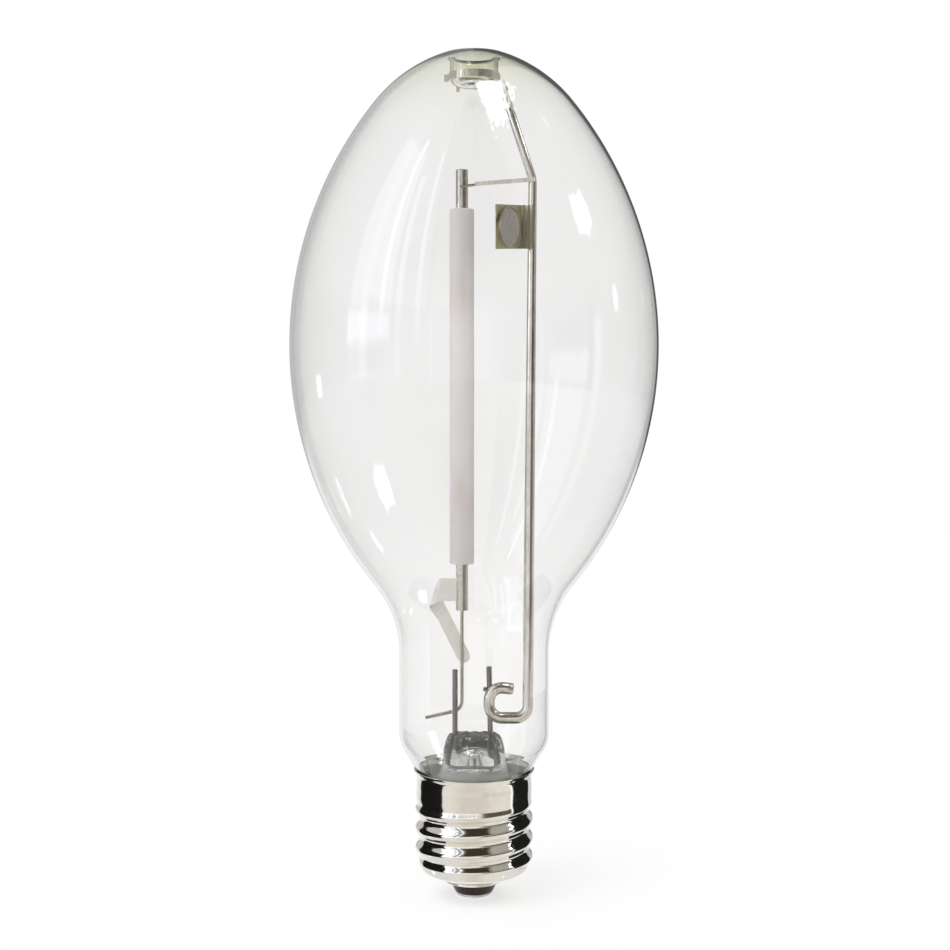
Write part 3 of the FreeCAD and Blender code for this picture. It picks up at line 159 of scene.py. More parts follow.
# Across, colour high up and colour low down of the sides, and of the paper behind, which is white
# low down while its edges fall away into the room higher up
SIDES = (((-146, -62, 3), (0.56, 0.555, 0.55, 1), (0.78, 0.78, 0.78, 1)),
         ((86, 145, 3), (0.50, 0.49, 0.47, 1), (0.78, 0.78, 0.78, 1)),
         ((-170, -146, 3), (0.55, 0.55, 0.55, 1), (0.90, 0.90, 0.90, 1)),
         ((-200, -170, 3), (0.20, 0.20, 0.20, 1), (1.0, 1.0, 1.0, 1)),
         ((145, 157, 3), (0.50, 0.50, 0.50, 1), (0.60, 0.60, 0.60, 1)),
         ((157, 200, 3), (0.10, 0.10, 0.10, 1), (0.90, 0.90, 0.90, 1)))

# Noise scale, detail and roughness of two kinds of uneven edge
RAGGED = (9.0, 4.0, 0.6)
TORN = (26.0, 5.0, 0.7)

# Tone, strength, across, rise, softness, kind of edge and its reach in degrees
DAYLIGHT = (0.90, 0.95, 1.08)
CLOUD = (0.75, 0.72, 0.72)
WHITE = (1, 1, 1)
HIGHLIGHTS = ((DAYLIGHT, 1.35, (-82, -52), (10, 56), 1.5, None, 0),
              (DAYLIGHT, 1.15, (-82, -52), (-8, 10), 1.5, None, 0),
              (DAYLIGHT, 2.2, (-83, -53), (2, 9), 1.5, RAGGED, 4.9),
              (CLOUD, 1.0, (-80, -56), (-6, 0), 1.0, RAGGED, 4.2),
              (DAYLIGHT, 2.6, (-60, -57), (4, 60), 0.8, None, 0),
              (DAYLIGHT, 1.5, (-49, -45), (-8, 50), 0.8, None, 0),
              (DAYLIGHT, 1.5, (-36, -33), (0, 60), 0.8, None, 0),
              (WHITE, 11.0, (80, 92), (28, 36), 1.5, RAGGED, 8.4),
              (WHITE, 1.2, (78, 84), (-50, 8), 2.0, None, 0),
              (WHITE, 8.0, (30, 118), (70.5, 95), 2.0, TORN, 30.0),
              (WHITE, 5.0, (-114, -110), (-8, -4.5), 0.8, None, 0),
              (WHITE, 2.5, (-115, -111), (-42, -37), 0.8, None, 0))

# What matt surfaces see at the right and at the left
MATT_RIGHT = (1.06, 1.03, 0.98, 1)
MATT_LEFT = (1.60, 1.61, 1.66, 1)

# Sun strength, spread and turn in degrees
LIGHTS = (("key", 0.9, 40, (42, 0, -48)), ("fill", 0.2, 60, (50, 0, 60)))

# Black cards beside the cap: name, start and end across, and top
FLAGS = (("flag_left", -116, -56, 46.0), ("flag_right", 71, 121, 60.0))
FLAG_REACH = 62.0
FLAG_BOTTOM = -12.0
FLAG_STEPS = 16
FLAG_SHADE = 0.01

# The floor's own colour and glow, its half width, and where it starts and ends to fade, in metres
FLOOR_SHADE = 0.30
FLOOR_GLOW = 0.58
FLOOR_REACH = 6.0
FLOOR_FADE = (0.5, 1.6)


# Meshes

class Skin:
    """Rings of points with the faces between them; a pole is a ring that is one point."""

    def __init__(self, columns):
        self.columns = columns
        self.points = []
        self.rings = []
        self.faces = []

    def pole(self, point):
        self.rings.append([len(self.points)] * self.columns)
        self.points.append(point)

    def ring(self, points):
        self.rings.append(list(range(len(self.points), len(self.points) + self.columns)))
        self.points.extend(points)

    def close(self, loop=False):
        """Puts faces between the rings so far, with loop also from the last one to the first."""
        onward = self.rings[1:] + (self.rings[:1] if loop else [])
        for low, high in zip(self.rings, onward):
            for column in range(self.columns):
                after = (column + 1) % self.columns
                face = []
                for corner in (low[column], high[column], high[after], low[after]):
                    if corner not in face:
                        face.append(corner)
                if len(face) > 2:
                    self.faces.append(face)
        self.rings = []

    def piece(self, name, material):
        """The smooth mesh object, which rides on the lamp."""
        mesh = bpy.data.meshes.new(name)
        mesh.from_pydata([Vector(point) * MM for point in self.points], [], self.faces)
        mesh.update()
        mesh.shade_smooth()
        mesh.materials.append(material)
        piece = bpy.data.objects.new(name, mesh)
        scene.collection.objects.link(piece)
        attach(piece, "root")
        return piece


def around(columns):
    """Cosine and sine of each column's angle."""
    angles = [2 * math.pi * column / columns for column in range(columns)]
    return [(math.cos(angle), math.sin(angle)) for angle in angles]


def arc(centre, radius, start, end, steps):
    """Points on an arc between two directions given in degrees."""
    points = []
    for step in range(steps + 1):
        turn = math.radians(start + (end - start) * step / steps)
        points.append((centre[0] + radius * math.cos(turn), centre[1] + radius * math.sin(turn)))
    return points


def heading(origin, target):
    """The direction from one point of a profile to another, in degrees."""
    return math.degrees(math.atan2(target[1] - origin[1], target[0] - origin[0]))


def turn_profile(name, profile, columns, material):
    """Revolves a closed profile of radius and height; points on the axis are poles."""
    skin = Skin(columns)
    for radius, height in profile:
        if radius > 0:
            skin.ring([(radius * cosine, radius * sine, height) for cosine, sine in around(columns)])
        else:
            skin.pole((0, 0, height))
    skin.close(loop=True)
    return skin.piece(name, material)


def bent_path(corners, steps=10):
    """Points along straight runs whose corners are rounded by their third entry."""
    path = [Vector(corners[0][:2])]
    for before, corner, after in zip(corners, corners[1:], corners[2:]):
        middle = Vector(corner[:2])
        back = (Vector(before[:2]) - middle).normalized()
        ahead = (Vector(after[:2]) - middle).normalized()
        half = back.angle(ahead) / 2
        reach = corner[2] / math.tan(half)
        centre = middle + (back + ahead).normalized() * (corner[2] / math.sin(half))
        start = middle + back * reach - centre
        end = middle + ahead * reach - centre
        sweep = start.angle_signed(end)
        for step in range(steps + 1):
            cosine = math.cos(-sweep * step / steps)
            sine = math.sin(-sweep * step / steps)
            spoke = Vector((start.x * cosine - start.y * sine, start.x * sine + start.y * cosine))
            path.append(centre + spoke)
    path.append(Vector(corners[-1][:2]))
    return path


def tube(name, path, radii, material, sides=24, cap_round=0.3):
    """A round tube along 3D points with a radius at each, closed by slightly rounded ends."""
    last = len(path) - 1
    skin = Skin(sides)
    ends = []
    normal = None
    for index, (point, radius) in enumerate(zip(path, radii)):
        ahead = (path[min(index + 1, last)] - path[max(index - 1, 0)]).normalized()
        if normal is None:
            normal = ahead.orthogonal().normalized()
        normal = (normal - ahead * normal.dot(ahead)).normalized()
        side = ahead.cross(normal)
        stations = [(point, radius)]
        if index in (0, last):
            edge = radius * cap_round
            out = (ahead if index else -ahead) * edge
            stations += [(point + out * 0.7, radius - edge * 0.3), (point + out, radius - edge)]
            ends.append(point + out)
        if index == 0:
            stations.reverse()
        for centre, size in stations:
            skin.ring([centre + (normal * cosine + side * sine) * size for cosine, sine in around(sides)])
    rings = skin.rings
    for low, high in zip(rings, rings[1:]):
        for step in range(sides):
            after = (step + 1) % sides
            skin.faces.append([low[step], low[after], high[after], high[step]])
    for ring, centre, turn in ((rings[0], ends[0], -1), (rings[-1], ends[1], 1)):
        for edge in zip(ring, ring[1:] + ring[:1]):
            skin.faces.append([*edge[::turn], len(skin.points)])
        skin.points.append(centre)
    return skin.piece(name, material)


# Nodes

class Nodes:
    """Short calls for building one node tree."""

    def __init__(self, tree):
        self.tree = tree

    def add(self, kind, **settings):
        node = self.tree.nodes.new(kind)
        for name, setting in settings.items():
            setattr(node, name, setting)
        return node

    def link(self, source, target):
        self.tree.links.new(source, target)

    def put(self, socket, source):
        """Links a socket or sets a plain value."""
        if isinstance(source, bpy.types.NodeSocket):
            self.link(source, socket)
        else:
            socket.default_value = source

    def math(self, operation, first, second=0.0, clamp=False):
        node = self.add("ShaderNodeMath", operation=operation, use_clamp=clamp)
        self.put(node.inputs[0], first)
        self.put(node.inputs[1], second)
        return node.outputs[0]

    def times(self, first, second):
        return self.math("MULTIPLY", first, second)

    def climb(self, source, start, end):
        """A smooth climb from 0 to 1."""
        node = self.add("ShaderNodeMapRange", interpolation_type="SMOOTHSTEP")
        self.link(source, node.inputs["Value"])
        node.inputs["From Min"].default_value = start
        node.inputs["From Max"].default_value = end
        return node.outputs[0]

    def step(self, source, low, high, soft):
        """Nearly 1 between two values and 0 outside, with soft edges."""
        up = self.climb(source, low - soft, low + soft)
        down = self.climb(source, high - soft, high + soft)
        return self.math("SUBTRACT", up, down, clamp=True)

    def mix(self, share, first, second, blend="MIX"):
        node = self.add("ShaderNodeMix", data_type="RGBA", blend_type=blend)
        self.put(node.inputs[0], share)
        self.put(node.inputs[6], first)
        self.put(node.inputs[7], second)
        return node.outputs[2]

    def noise(self, scale, detail=3.0, roughness=0.5, vector=None):
        node = self.add("ShaderNodeTexNoise")
        node.inputs["Scale"].default_value = scale
        node.inputs["Detail"].default_value = detail
        node.inputs["Roughness"].default_value = roughness
        if vector is not None:
            self.link(vector, node.inputs["Vector"])
        return node.outputs[0]

    def ramp(self, source, stops):
        node = self.add("ShaderNodeValToRGB")
        elements = node.color_ramp.elements
        while len(elements) < len(stops):
            elements.new(0.5)
        for element, (place, colour) in zip(elements, stops):
            element.position = place
            element.color = (*colour, 1)
        self.link(source, node.inputs[0])
        return node.outputs[0]

    def stretch(self, source, low, high):
        """0 up to the low value and 1 from the high one."""
        return self.ramp(source, [(low, (0, 0, 0)), (high, (1, 1, 1))])

    def scaled(self, factors=(1, 1, 1)):
        """Object coordinates in millimetres, stretched along each axis."""
        mapping = self.add("ShaderNodeMapping")
        mapping.inputs["Scale"].default_value = [factor / MM for factor in factors]
        self.link(self.add("ShaderNodeTexCoord").outputs["Object"], mapping.inputs["Vector"])
        return mapping.outputs[0]

    def height(self):
        """Height above the lamp's foot in millimetres."""
        place = self.add("ShaderNodeSeparateXYZ")
        self.link(self.add("ShaderNodeTexCoord").outputs["Object"], place.inputs[0])
        return self.times(place.outputs[2], 1 / MM)

    def bump(self, height, strength, distance):
        node = self.add("ShaderNodeBump")
        node.inputs["Strength"].default_value = strength
        node.inputs["Distance"].default_value = distance * MM
        self.link(height, node.inputs["Height"])
        return node.outputs[0]

    def clear_where(self, share, shader, output, through=1.0):
        """Mixes a see-through shader into the surface by a share."""
        clear = self.add("ShaderNodeBsdfTransparent")
        clear.inputs["Color"].default_value = (through, through, through, 1)
        mixer = self.add("ShaderNodeMixShader")
        self.link(share, mixer.inputs[0])
        self.link(shader.outputs[0], mixer.inputs[1])
        self.link(clear.outputs[0], mixer.inputs[2])
        self.link(mixer.outputs[0], output.inputs["Surface"])


def new_material(name):
    material = bpy.data.materials.new(name)
    material.use_nodes = True
    nodes = Nodes(material.node_tree)
    shader = material.node_tree.nodes["Principled BSDF"]
    output = material.node_tree.nodes["Material Output"]
    return material, nodes, shader, output


# Studio

def make_camera():
    """A level lamp seen from a little above its middle, as close as the rim's ellipses say."""
    data = bpy.data.cameras.new("camera")
    data.sensor_width = CAMERA_SENSOR
    data.lens = CAMERA_LENS
    data.shift_x, data.shift_y = CAMERA_SHIFT
    camera = bpy.data.objects.new("camera", data)
    camera.location = CAMERA_PLACE
    camera.rotation_euler = (math.radians(CAMERA_TILT), 0.0, 0.0)
    scene.collection.objects.link(camera)
    scene.camera = camera


def mirrored_room(nodes, across, rise):
    """The colour of the room by direction."""
    limits, outer, inner = FRONT_LOW
    low_front = nodes.mix(nodes.step(across, *limits), outer, inner)
    limits, outer, inner = FRONT_LEVEL
    level_front = nodes.mix(nodes.step(across, *limits), outer, inner)
    colour = nodes.mix(nodes.step(rise, *LEVEL_START), level_front, low_front)
    limits, shade = CEILING
    colour = nodes.mix(nodes.step(rise, *limits), colour, shade)
    for wide, tall, strength, shade in OVERHEAD:
        share = nodes.times(nodes.step(across, *wide), nodes.step(rise, *tall))
        colour = nodes.mix(nodes.times(share, strength), colour, shade)
    low = nodes.step(rise, *SIDE_START)
    for wide, high_shade, low_shade in SIDES:
        colour = nodes.mix(nodes.step(across, *wide), colour, nodes.mix(low, high_shade, low_shade))
    for tone, strength, wide, tall, soft, edge, sway in HIGHLIGHTS:
        turned = across
        lifted = rise
        if edge:
            shift = nodes.times(nodes.math("SUBTRACT", nodes.noise(*edge), 0.5), sway)
            turned = nodes.math("ADD", across, shift)
            lifted = nodes.math("ADD", rise, shift)
        share = nodes.times(nodes.step(turned, *wide, soft), nodes.step(lifted, *tall, soft))
        colour = nodes.mix(share, colour, (*[channel * strength for channel in tone], 1))
    return colour


def make_world():
    """White to sight; mirrors see the room, and matt surfaces see even light, bluish at the left."""
    world = bpy.data.worlds.new("studio")
    world.use_nodes = True
    world.cycles.sampling_method = "NONE"
    scene.world = world
    nodes = Nodes(world.node_tree)
    direction = nodes.add("ShaderNodeSeparateXYZ")
    nodes.link(nodes.add("ShaderNodeTexCoord").outputs["Generated"], direction.inputs[0])
    x, y, z = direction.outputs
    degrees = 180 / math.pi
    across = nodes.times(nodes.math("ARCTAN2", x, nodes.times(y, -1.0)), degrees)
    rise = nodes.times(nodes.math("ARCSINE", z), degrees)
    room = mirrored_room(nodes, across, rise)
    left_share = nodes.math("ADD", nodes.times(x, -0.5), 0.5, clamp=True)
    matt = nodes.mix(left_share, MATT_RIGHT, MATT_LEFT)
    path = nodes.add("ShaderNodeLightPath").outputs
    straight = nodes.math("MAXIMUM", path["Is Camera Ray"], path["Is Transmission Ray"])
    shown = nodes.mix(straight, matt, (1, 1, 1, 1))
    shown = nodes.mix(nodes.math("MINIMUM", path["Glossy Depth"], 1.0), shown, room)
    shown = nodes.mix(nodes.math("MINIMUM", path["Diffuse Depth"], 1.0), shown, matt)
    nodes.link(shown, world.node_tree.nodes["Background"].inputs["Color"])


def make_lights():
    """Two wide soft lights that matt surfaces see; mirrors see the room instead."""
    for name, strength, spread, turn in LIGHTS:
        data = bpy.data.lights.new(name, "SUN")
        data.energy = strength
        data.angle = math.radians(spread)
        light = bpy.data.objects.new(name, data)
        light.rotation_euler = [math.radians(angle) for angle in turn]
        light.visible_glossy = False
        light.visible_transmission = False
        light.visible_camera = False
        scene.collection.objects.link(light)


def stage_object(name, surface, points, faces, shade):
    """A plain matt object of the studio, with the nodes, shader and output of its surface."""
    mesh = bpy.data.meshes.new(name)
    mesh.from_pydata(points, [], faces)
    thing = bpy.data.objects.new(name, mesh)
    scene.collection.objects.link(thing)
    material, nodes, shader, output = new_material(surface)
    shader.inputs["Base Color"].default_value = (shade, shade, shade, 1)
    shader.inputs["Roughness"].default_value = 0.9
    shader.inputs["Specular IOR Level"].default_value = 0.0
    mesh.materials.append(material)
    return thing, nodes, shader, output


def make_flags():
    """Black cards that stand close to the cap at both sides and are seen only as its dark bands."""
    for name, start, end, top in FLAGS:
        points = []
        for step in range(FLAG_STEPS + 1):
            turn = math.radians(start + (end - start) * step / FLAG_STEPS)
            for height in (FLAG_BOTTOM, top):
                place = (FLAG_REACH * math.sin(turn), -FLAG_REACH * math.cos(turn), height)
                points.append(Vector(place) * MM)
        faces = [(2 * step, 2 * step + 2, 2 * step + 3, 2 * step + 1) for step in range(FLAG_STEPS)]
        flag = stage_object(name, name, points, faces, FLAG_SHADE)[0]
        flag.visible_camera = False
        flag.visible_diffuse = False
        flag.visible_transmission = False
        flag.visible_shadow = False


def make_floor():
    """A wide pale floor that glows like the backdrop, keeps a soft shadow and fades far away."""
    corners = [(-FLOOR_REACH, -FLOOR_REACH, 0), (FLOOR_REACH, -FLOOR_REACH, 0),
               (FLOOR_REACH, FLOOR_REACH, 0), (-FLOOR_REACH, FLOOR_REACH, 0)]
    floor, nodes, shader, output = stage_object("floor", "floor_paper", corners, [(0, 1, 2, 3)],
                                                FLOOR_SHADE)
    floor.visible_glossy = False
    path = nodes.add("ShaderNodeLightPath").outputs
    straight = nodes.math("MAXIMUM", path["Is Camera Ray"], path["Is Transmission Ray"])
    seen = nodes.math("MAXIMUM", straight, nodes.math("MINIMUM", path["Diffuse Depth"], 1.0))
    unmirrored = nodes.math("SUBTRACT", seen, path["Glossy Depth"], clamp=True)
    shader.inputs["Emission Color"].default_value = (1, 1, 1, 1)
    nodes.link(nodes.times(unmirrored, FLOOR_GLOW), shader.inputs["Emission Strength"])
    distance = nodes.add("ShaderNodeVectorMath", operation="LENGTH")
    nodes.link(nodes.add("ShaderNodeTexCoord").outputs["Object"], distance.inputs[0])
    far = nodes.climb(distance.outputs["Value"], *FLOOR_FADE)
    nodes.clear_where(nodes.math("ADD", path["Glossy Depth"], far, clamp=True), shader, output)


# Materials

def glass_material(name, tints, zones, ior=1.48, ripple=0.0, haze=0.0):
    """Clear glass that lets lamps through; it darkens where it is seen along its wall.

    zones are heights in millimetres between which the glass is thick, with their tints;
    haze is how milky it is in the first zone.
    """
    material, nodes, shader, output = new_material(name)
    weight = nodes.add("ShaderNodeLayerWeight")
    weight.inputs["Blend"].default_value = 0.5
    tint = nodes.ramp(weight.outputs["Facing"], tints)
    height = nodes.height()
    shares = []
    for limits, shade in zones:
        shares.append(nodes.step(height, *limits))
        tint = nodes.mix(shares[-1], tint, nodes.mix(1.0, tint, (*shade, 1), "MULTIPLY"))
    shader.inputs["IOR"].default_value = ior
    if haze:
        milky = nodes.times(shares[0], haze)
        tint = nodes.mix(milky, tint, MILKY_TINT)
        nodes.link(nodes.times(milky, MILKY_ROUGHNESS), shader.inputs["Roughness"])
        nodes.link(nodes.math("SUBTRACT", 1.0, milky), shader.inputs["Transmission Weight"])
    else:
        shader.inputs["Roughness"].default_value = 0.0
        shader.inputs["Transmission Weight"].default_value = 1.0
    nodes.link(tint, shader.inputs["Base Color"])
    if ripple:
        swell = nodes.noise(0.05, 2.0, vector=nodes.scaled((1, 1, 0.5)))
        nodes.link(nodes.bump(swell, 1.0, ripple), shader.inputs["Normal"])
    shadow = nodes.add("ShaderNodeLightPath").outputs["Is Shadow Ray"]
    nodes.clear_where(shadow, shader, output, LET_THROUGH)
    return material


def metal_material(name, base, shade, roughness, grain=(0.4, 0.4, 0.05), depth=0.02, spots=0.0):
    """Worn metal: base and shade mixed by a fine stretched grain, with a little unevenness."""
    material, nodes, shader, output = new_material(name)
    streak = nodes.noise(1.0, 4.0, 0.6, nodes.scaled(grain))
    cloud = nodes.noise(0.12, 3.0, 0.6, nodes.scaled())
    colour = nodes.mix(nodes.times(nodes.stretch(streak, 0.3, 0.7), 0.6), (*base, 1), (*shade, 1))
    colour = nodes.mix(nodes.times(nodes.stretch(cloud, 0.45, 0.75), 0.5), colour, (*shade, 1))
    if spots:
        fleck = nodes.stretch(nodes.noise(1.6, 2.0, vector=nodes.scaled()), 0.66, 0.74)
        colour = nodes.mix(nodes.times(fleck, spots), colour, SPOT_SHADE)
    nodes.link(colour, shader.inputs["Base Color"])
    shader.inputs["Metallic"].default_value = 1.0
    rough = nodes.add("ShaderNodeMapRange")
    nodes.link(streak, rough.inputs["Value"])
    rough.inputs["To Min"].default_value = roughness * 0.8
    rough.inputs["To Max"].default_value = roughness * 1.3
    nodes.link(rough.outputs[0], shader.inputs["Roughness"])
    nodes.link(nodes.bump(streak, 0.5, depth), shader.inputs["Normal"])
    return material


def ceramic_material(name, base, see_through, roughness, electrode_shade_heights=()):
    """Sintered alumina: milky, with a faint cloudiness, and light passes through it blurred.

    The given heights, in millimetres, get a pinkish-brown painted shade where the electrodes show dimly
    through the wall.
    """
    material, nodes, shader, output = new_material(name)
    cloud = nodes.noise(0.25, 4.0, 0.6, nodes.scaled((1, 1, 0.5)))
    shade = [channel * 0.93 for channel in base]
    colour = nodes.mix(cloud, (*base, 1), (*shade, 1))
    # Painted shade: a pinkish-brown tint at the given heights, where the electrodes inside show dimly
    # through the wall
    if electrode_shade_heights:
        height = nodes.height()
        electrode_smudge = nodes.stretch(nodes.noise(0.35, 3.0, 0.6, nodes.scaled((1, 1, 0.35))), 0.40, 0.62)
        for start, end in electrode_shade_heights:
            share = nodes.times(nodes.step(height, start, end, ELECTRODE_SHADE_SOFTNESS), electrode_smudge)
            colour = nodes.mix(share, colour, ELECTRODE_SHADE_TINT)
    nodes.link(colour, shader.inputs["Base Color"])
    shader.inputs["Roughness"].default_value = roughness
    shader.inputs["IOR"].default_value = 1.3
    shader.inputs["Transmission Weight"].default_value = see_through
    grain = nodes.noise(3.0, 2.0, vector=nodes.scaled())
    nodes.link(nodes.bump(grain, 0.3, 0.01), shader.inputs["Normal"])
    return material


def dull_material(name, base, shade, roughness, scale, depth, metallic=0.0, shine=0.5):
    """A grainy surface of two close colours."""
    material, nodes, shader, output = new_material(name)
    grain = nodes.noise(scale, 5.0, 0.65, nodes.scaled())
    colour = nodes.mix(nodes.stretch(grain, 0.35, 0.7), (*base, 1), (*shade, 1))
    nodes.link(colour, shader.inputs["Base Color"])
    shader.inputs["Roughness"].default_value = roughness
    shader.inputs["Metallic"].default_value = metallic
    shader.inputs["Specular IOR Level"].default_value = shine
    nodes.link(nodes.bump(grain, 0.8, depth), shader.inputs["Normal"])
    return material


def make_materials():
    """One material for each slot."""
    glass = {
        "bulb_glass": dict(
            tints=((0.0, (0.957, 0.955, 0.953)), (0.5, (0.952, 0.950, 0.947)),
                   (0.8, (0.935, 0.935, 0.925)), (0.95, (0.80, 0.80, 0.78))),
            zones=(((-10, 42.5, 1.5), (0.90, 0.935, 0.89)), ((266, 400, 8.0), (0.955, 0.96, 0.88)))),
        "stem_glass": dict(
            tints=((0.0, (0.97, 0.975, 0.97)), (0.6, (0.95, 0.955, 0.95)), (0.95, (0.72, 0.74, 0.72))),
            zones=(((-10, 43.0, 2.0), (0.90, 0.94, 0.89)),), ior=1.5, ripple=0.3, haze=0.45),
    }

    # Base, shade and roughness, then the grain's stretch, its depth and the share of dark spots
    metal = {
        "shell_plating": ((0.93, 0.91, 0.87), (0.85, 0.82, 0.77), 0.085, (0.5, 0.5, 0.5), 0.012),
        "solder": ((0.75, 0.75, 0.74), (0.45, 0.46, 0.45), 0.28, (0.8, 0.8, 0.8), 0.3),
        "contact_metal": ((0.74, 0.76, 0.77), (0.50, 0.51, 0.51), 0.3),
        "lead_metal": ((0.34, 0.33, 0.32), (0.14, 0.13, 0.13), 0.32, (1.2, 1.2, 0.3), 0.06, 0.4),
        "tail_metal": ((0.60, 0.52, 0.42), (0.42, 0.36, 0.30), 0.3),
        "frame_metal": ((0.84, 0.82, 0.77), (0.48, 0.43, 0.35), 0.11, (1.0, 1.0, 0.1), 0.015),
        "support_metal": ((0.60, 0.56, 0.50), (0.42, 0.38, 0.33), 0.25),
        "niobium": ((0.78, 0.76, 0.70), (0.42, 0.39, 0.34), 0.2, (1.5, 1.5, 1.0), 0.06, 0.3),
        "amalgam": ((0.75, 0.75, 0.77), (0.6, 0.6, 0.62), 0.15),
        "getter_metal": ((0.66, 0.63, 0.47), (0.44, 0.41, 0.29), 0.3, (1, 1, 0.2), 0.02),
    }

    # Base, share of light let through, roughness and heights of painted electrode shade
    ceramic = {
        # The ceramic's two heights of painted shade are where the electrodes sit inside the tube
        "ceramic": ((0.995, 0.975, 0.97), 0.45, 0.5, ((192, 206), (126, 138))),
        "plug_ceramic": ((0.93, 0.93, 0.935), 0.1, 0.55),
    }

    # Base, shade and roughness, then the grain's scale and depth, metallic share and shine
    dull = {
        "black_glass": ((0.034, 0.017, 0.014), (0.014, 0.008, 0.007), 0.22, 0.6, 0.03, 0.0, 0.25),
        "tungsten": ((0.12, 0.11, 0.11), (0.05, 0.045, 0.045), 0.5, 1.0, 0.03, 1.0),
        "getter_fill": ((0.42, 0.40, 0.37), (0.22, 0.21, 0.19), 0.8, 2.0, 0.12),
        "strap_metal": ((0.97, 0.96, 0.91), (0.88, 0.86, 0.79), 0.4, 0.3, 0.02, 0.5),
    }

    materials = {slot: glass_material(slot, **settings) for slot, settings in glass.items()}
    for table, build in ((metal, metal_material), (ceramic, ceramic_material), (dull, dull_material)):
        for slot, settings in table.items():
            materials[slot] = build(slot, *settings)
    return materials


# Pieces made again with finer form than the solids

def bulb_profile(inset):
    """Half outline of the envelope from the middle of the dimple's floor to the mouth of the neck."""
    lip = (DIMPLE_RADIUS + LIP_ARC, BULB_TOP - LIP_ARC)
    drop_to_tip = math.sqrt((TIP_ARC - LIP_ARC) ** 2 - (lip[0] + TIP_OFFSET) ** 2)
    tip = (-TIP_OFFSET, lip[1] - drop_to_tip)
    reach = BULB_RADIUS + TIP_OFFSET
    rise = tip[1] - BULB_MIDDLE
    upper_radius = (reach ** 2 + rise ** 2 - TIP_ARC ** 2) / (2 * (reach - TIP_ARC))
    upper = (BULB_RADIUS - upper_radius, BULB_MIDDLE)
    waist = (NECK_RADIUS + NECK_ARC, NECK_TOP)
    step = waist[0] - BULB_RADIUS
    drop = BULB_MIDDLE - NECK_TOP
    lower_radius = (step ** 2 + drop ** 2 - NECK_ARC ** 2) / (2 * (NECK_ARC - step))
    lower = (BULB_RADIUS - lower_radius, BULB_MIDDLE)
    slope = math.degrees(math.atan2(SHOULDER_HEIGHT - THROAT_HEIGHT, NECK_RADIUS - THROAT_RADIUS))
    lean = math.tan(math.radians((90 - slope) / 2))
    shoulder = (NECK_RADIUS - SHOULDER_ARC, SHOULDER_HEIGHT + SHOULDER_ARC * lean)
    throat = (THROAT_RADIUS + THROAT_ARC, THROAT_HEIGHT - THROAT_ARC * lean)
    dimple = (DIMPLE_RADIUS - DIMPLE_FLOOR_ARC, DIMPLE_FLOOR + DIMPLE_FLOOR_ARC)
    lip_out = heading(tip, lip)
    tip_out = heading(upper, tip)
    side_out = heading(lower, waist)
    profile = [(0, DIMPLE_FLOOR - inset)]
    profile += arc(dimple, DIMPLE_FLOOR_ARC + inset, -90, 0, 8)
    profile += arc(lip, LIP_ARC - inset, 180, lip_out, 10)
    profile += arc(tip, TIP_ARC - inset, lip_out, tip_out, 24)[1:]
    profile += arc(upper, upper_radius - inset, tip_out, 0, 28)[1:]
    profile += arc(lower, lower_radius - inset, 0, side_out, 32)[1:]
    profile += arc(waist, NECK_ARC + inset, side_out + 180, 180, 18)[1:]
    profile += arc(shoulder, SHOULDER_ARC - inset, 0, slope - 90, 8)
    profile += arc(throat, THROAT_ARC + inset, slope + 90, 180, 6)
    profile.append((THROAT_RADIUS - inset, NECK_END))
    return profile


def make_bulb(materials):
    """The envelope as one closed wall."""
    wall = bulb_profile(0.0) + bulb_profile(BULB_WALL)[::-1]
    bulb = turn_profile("glass_envelope", wall, BULB_COLUMNS, materials["bulb_glass"])
    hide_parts("outer_bulb")


def press_ring(half_width, half_depth, height):
    """One level of the press: a rounded box that swells over the leads, with waves in its height."""
    blend = min((height - PRESS_FOOT) / PRESS_BLEND, 1.0)
    power = 2 / (2.0 + PRESS_SQUARENESS * blend)
    row = []
    for cosine, sine in around(STEM_COLUMNS):
        x = half_width * math.copysign(abs(cosine) ** power, cosine)
        y = half_depth * math.copysign(abs(sine) ** power, sine)
        over_lead = math.exp(-((abs(x) - LEAD_PLACE) / LEAD_REACH) ** 2)
        between = math.exp(-(x / MIDDLE_REACH) ** 2)
        wave = sum(size * math.sin(pace * x + start) for size, pace, start in PRESS_WAVES)
        swell = 1 + PRESS_SWELL * blend * (over_lead - between)
        row.append((x, y * swell, height + wave * blend ** 2))
    return row


def round_ring(radius, height):
    """One level of the flare or the tube."""
    return [(radius * cosine, radius * sine, height) for cosine, sine in around(STEM_COLUMNS)]


def make_stem(materials):
    """Flare, press and exhaust tube; the press bulges over the leads and its top edge is uneven."""
    skin = Skin(STEM_COLUMNS)
    skin.pole((0, 0, PRESS_TOP))
    for level in PRESS:
        skin.ring(press_ring(*level))
    for level in FLARE + FLARE_FOOT + HOLLOW + EXHAUST:
        skin.ring(round_ring(*level))
    skin.pole((0, 0, EXHAUST_BOTTOM))
    skin.close()
    skin.pole((0, 0, BORE_BOTTOM))
    for level in BORE:
        skin.ring(round_ring(*level))
    skin.pole((0, 0, BORE_TOP))
    skin.close()
    stem = skin.piece("pressed_stem", materials["stem_glass"])
    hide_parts("stem")


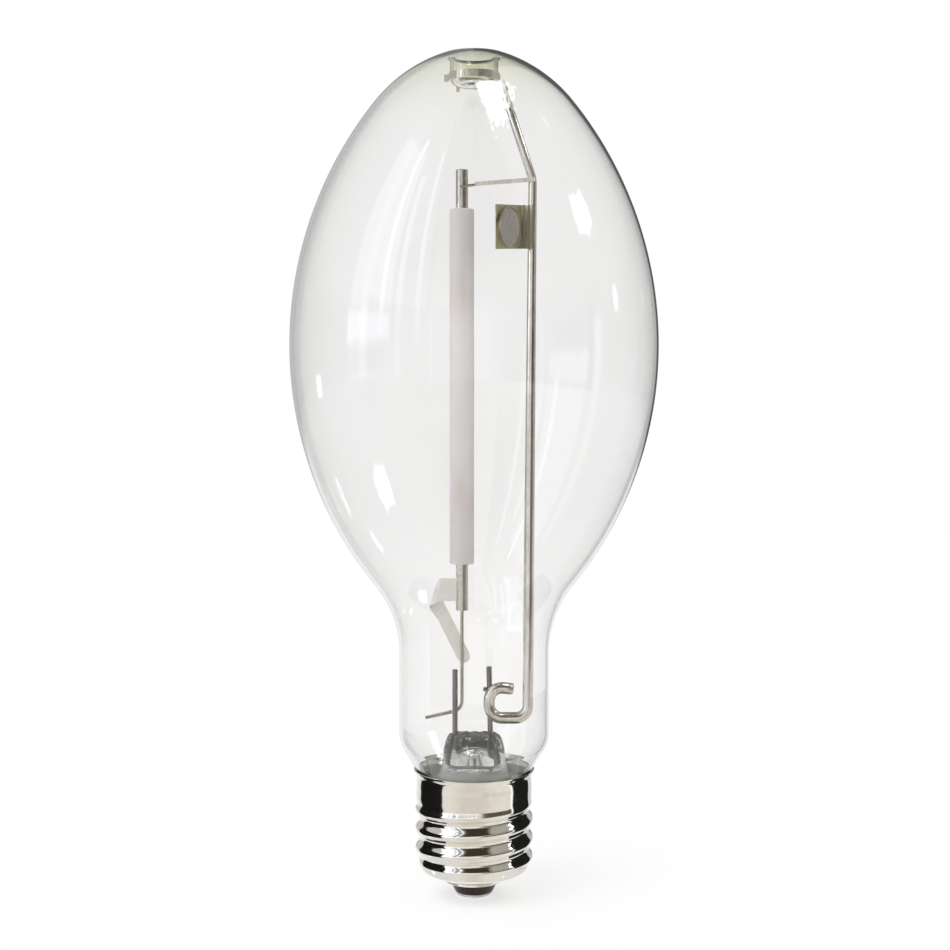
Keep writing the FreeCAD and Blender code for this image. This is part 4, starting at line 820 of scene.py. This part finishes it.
def make_beads(materials):
    """Small uneven lumps of weld metal at the hook, at the stout wire's shoulder and on the left lead."""
    for name, centre, sizes, slot in BEADS:
        chance = random.Random(name)
        skin = Skin(BEAD_COLUMNS)
        skin.pole((centre[0], centre[1], centre[2] + sizes[2]))
        for row in range(1, BEAD_ROWS):
            polar = math.pi * row / BEAD_ROWS
            height = centre[2] + sizes[2] * math.cos(polar)
            ring = []
            for cosine, sine in around(BEAD_COLUMNS):
                swell = 1 + chance.uniform(-BEAD_UNEVEN, BEAD_UNEVEN)
                x = centre[0] + sizes[0] * swell * math.sin(polar) * cosine
                y = centre[1] + sizes[1] * swell * math.sin(polar) * sine
                ring.append((x, y, height))
            skin.ring(ring)
        skin.pole((centre[0], centre[1], centre[2] - sizes[2]))
        skin.close()
        lump = skin.piece(name, materials[slot])


def make_frame_wire(materials):
    """The stout wire, a little thicker at its hook, where it was pressed for the weld."""
    path = [Vector((point.x, -FRAME_DEPTH, point.y)) for point in bent_path(FRAME_CORNERS)]
    length = 0.0
    radii = []
    for index, point in enumerate(path):
        if index:
            length += (point - path[index - 1]).length
        radius = FRAME_RADIUS
        for extra, start, reach in FRAME_THICKER:
            radius += extra * (1.0 - min(max((length - start) / reach, 0.0), 1.0))
        radii.append(radius)
    wire = tube("stout_frame_wire", path, radii, materials["frame_metal"])
    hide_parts("frame_wire")


def dress_nodes(materials):
    """Gives each node that stays its slot's material."""
    for entry in frame["record"]["subparts"]:
        node = frame["nodes"][entry["node"]]
        material = materials[entry["material_slot"]]
        if not node.material_slots:
            node.data.materials.append(material)
        for place in node.material_slots:
            place.material = material


make_camera()
make_world()
make_lights()
make_floor()
make_flags()
materials = make_materials()
dress_nodes(materials)
make_bulb(materials)
make_stem(materials)
make_frame_wire(materials)
make_beads(materials)

scene.view_settings.view_transform = "Standard"
scene.cycles.max_bounces = LONG_PATHS
scene.cycles.transmission_bounces = LONG_PATHS
scene.cycles.transparent_max_bounces = LONG_PATHS
scene.cycles.glossy_bounces = GLOSSY_PATHS
scene.cycles.diffuse_bounces = DIFFUSE_PATHS
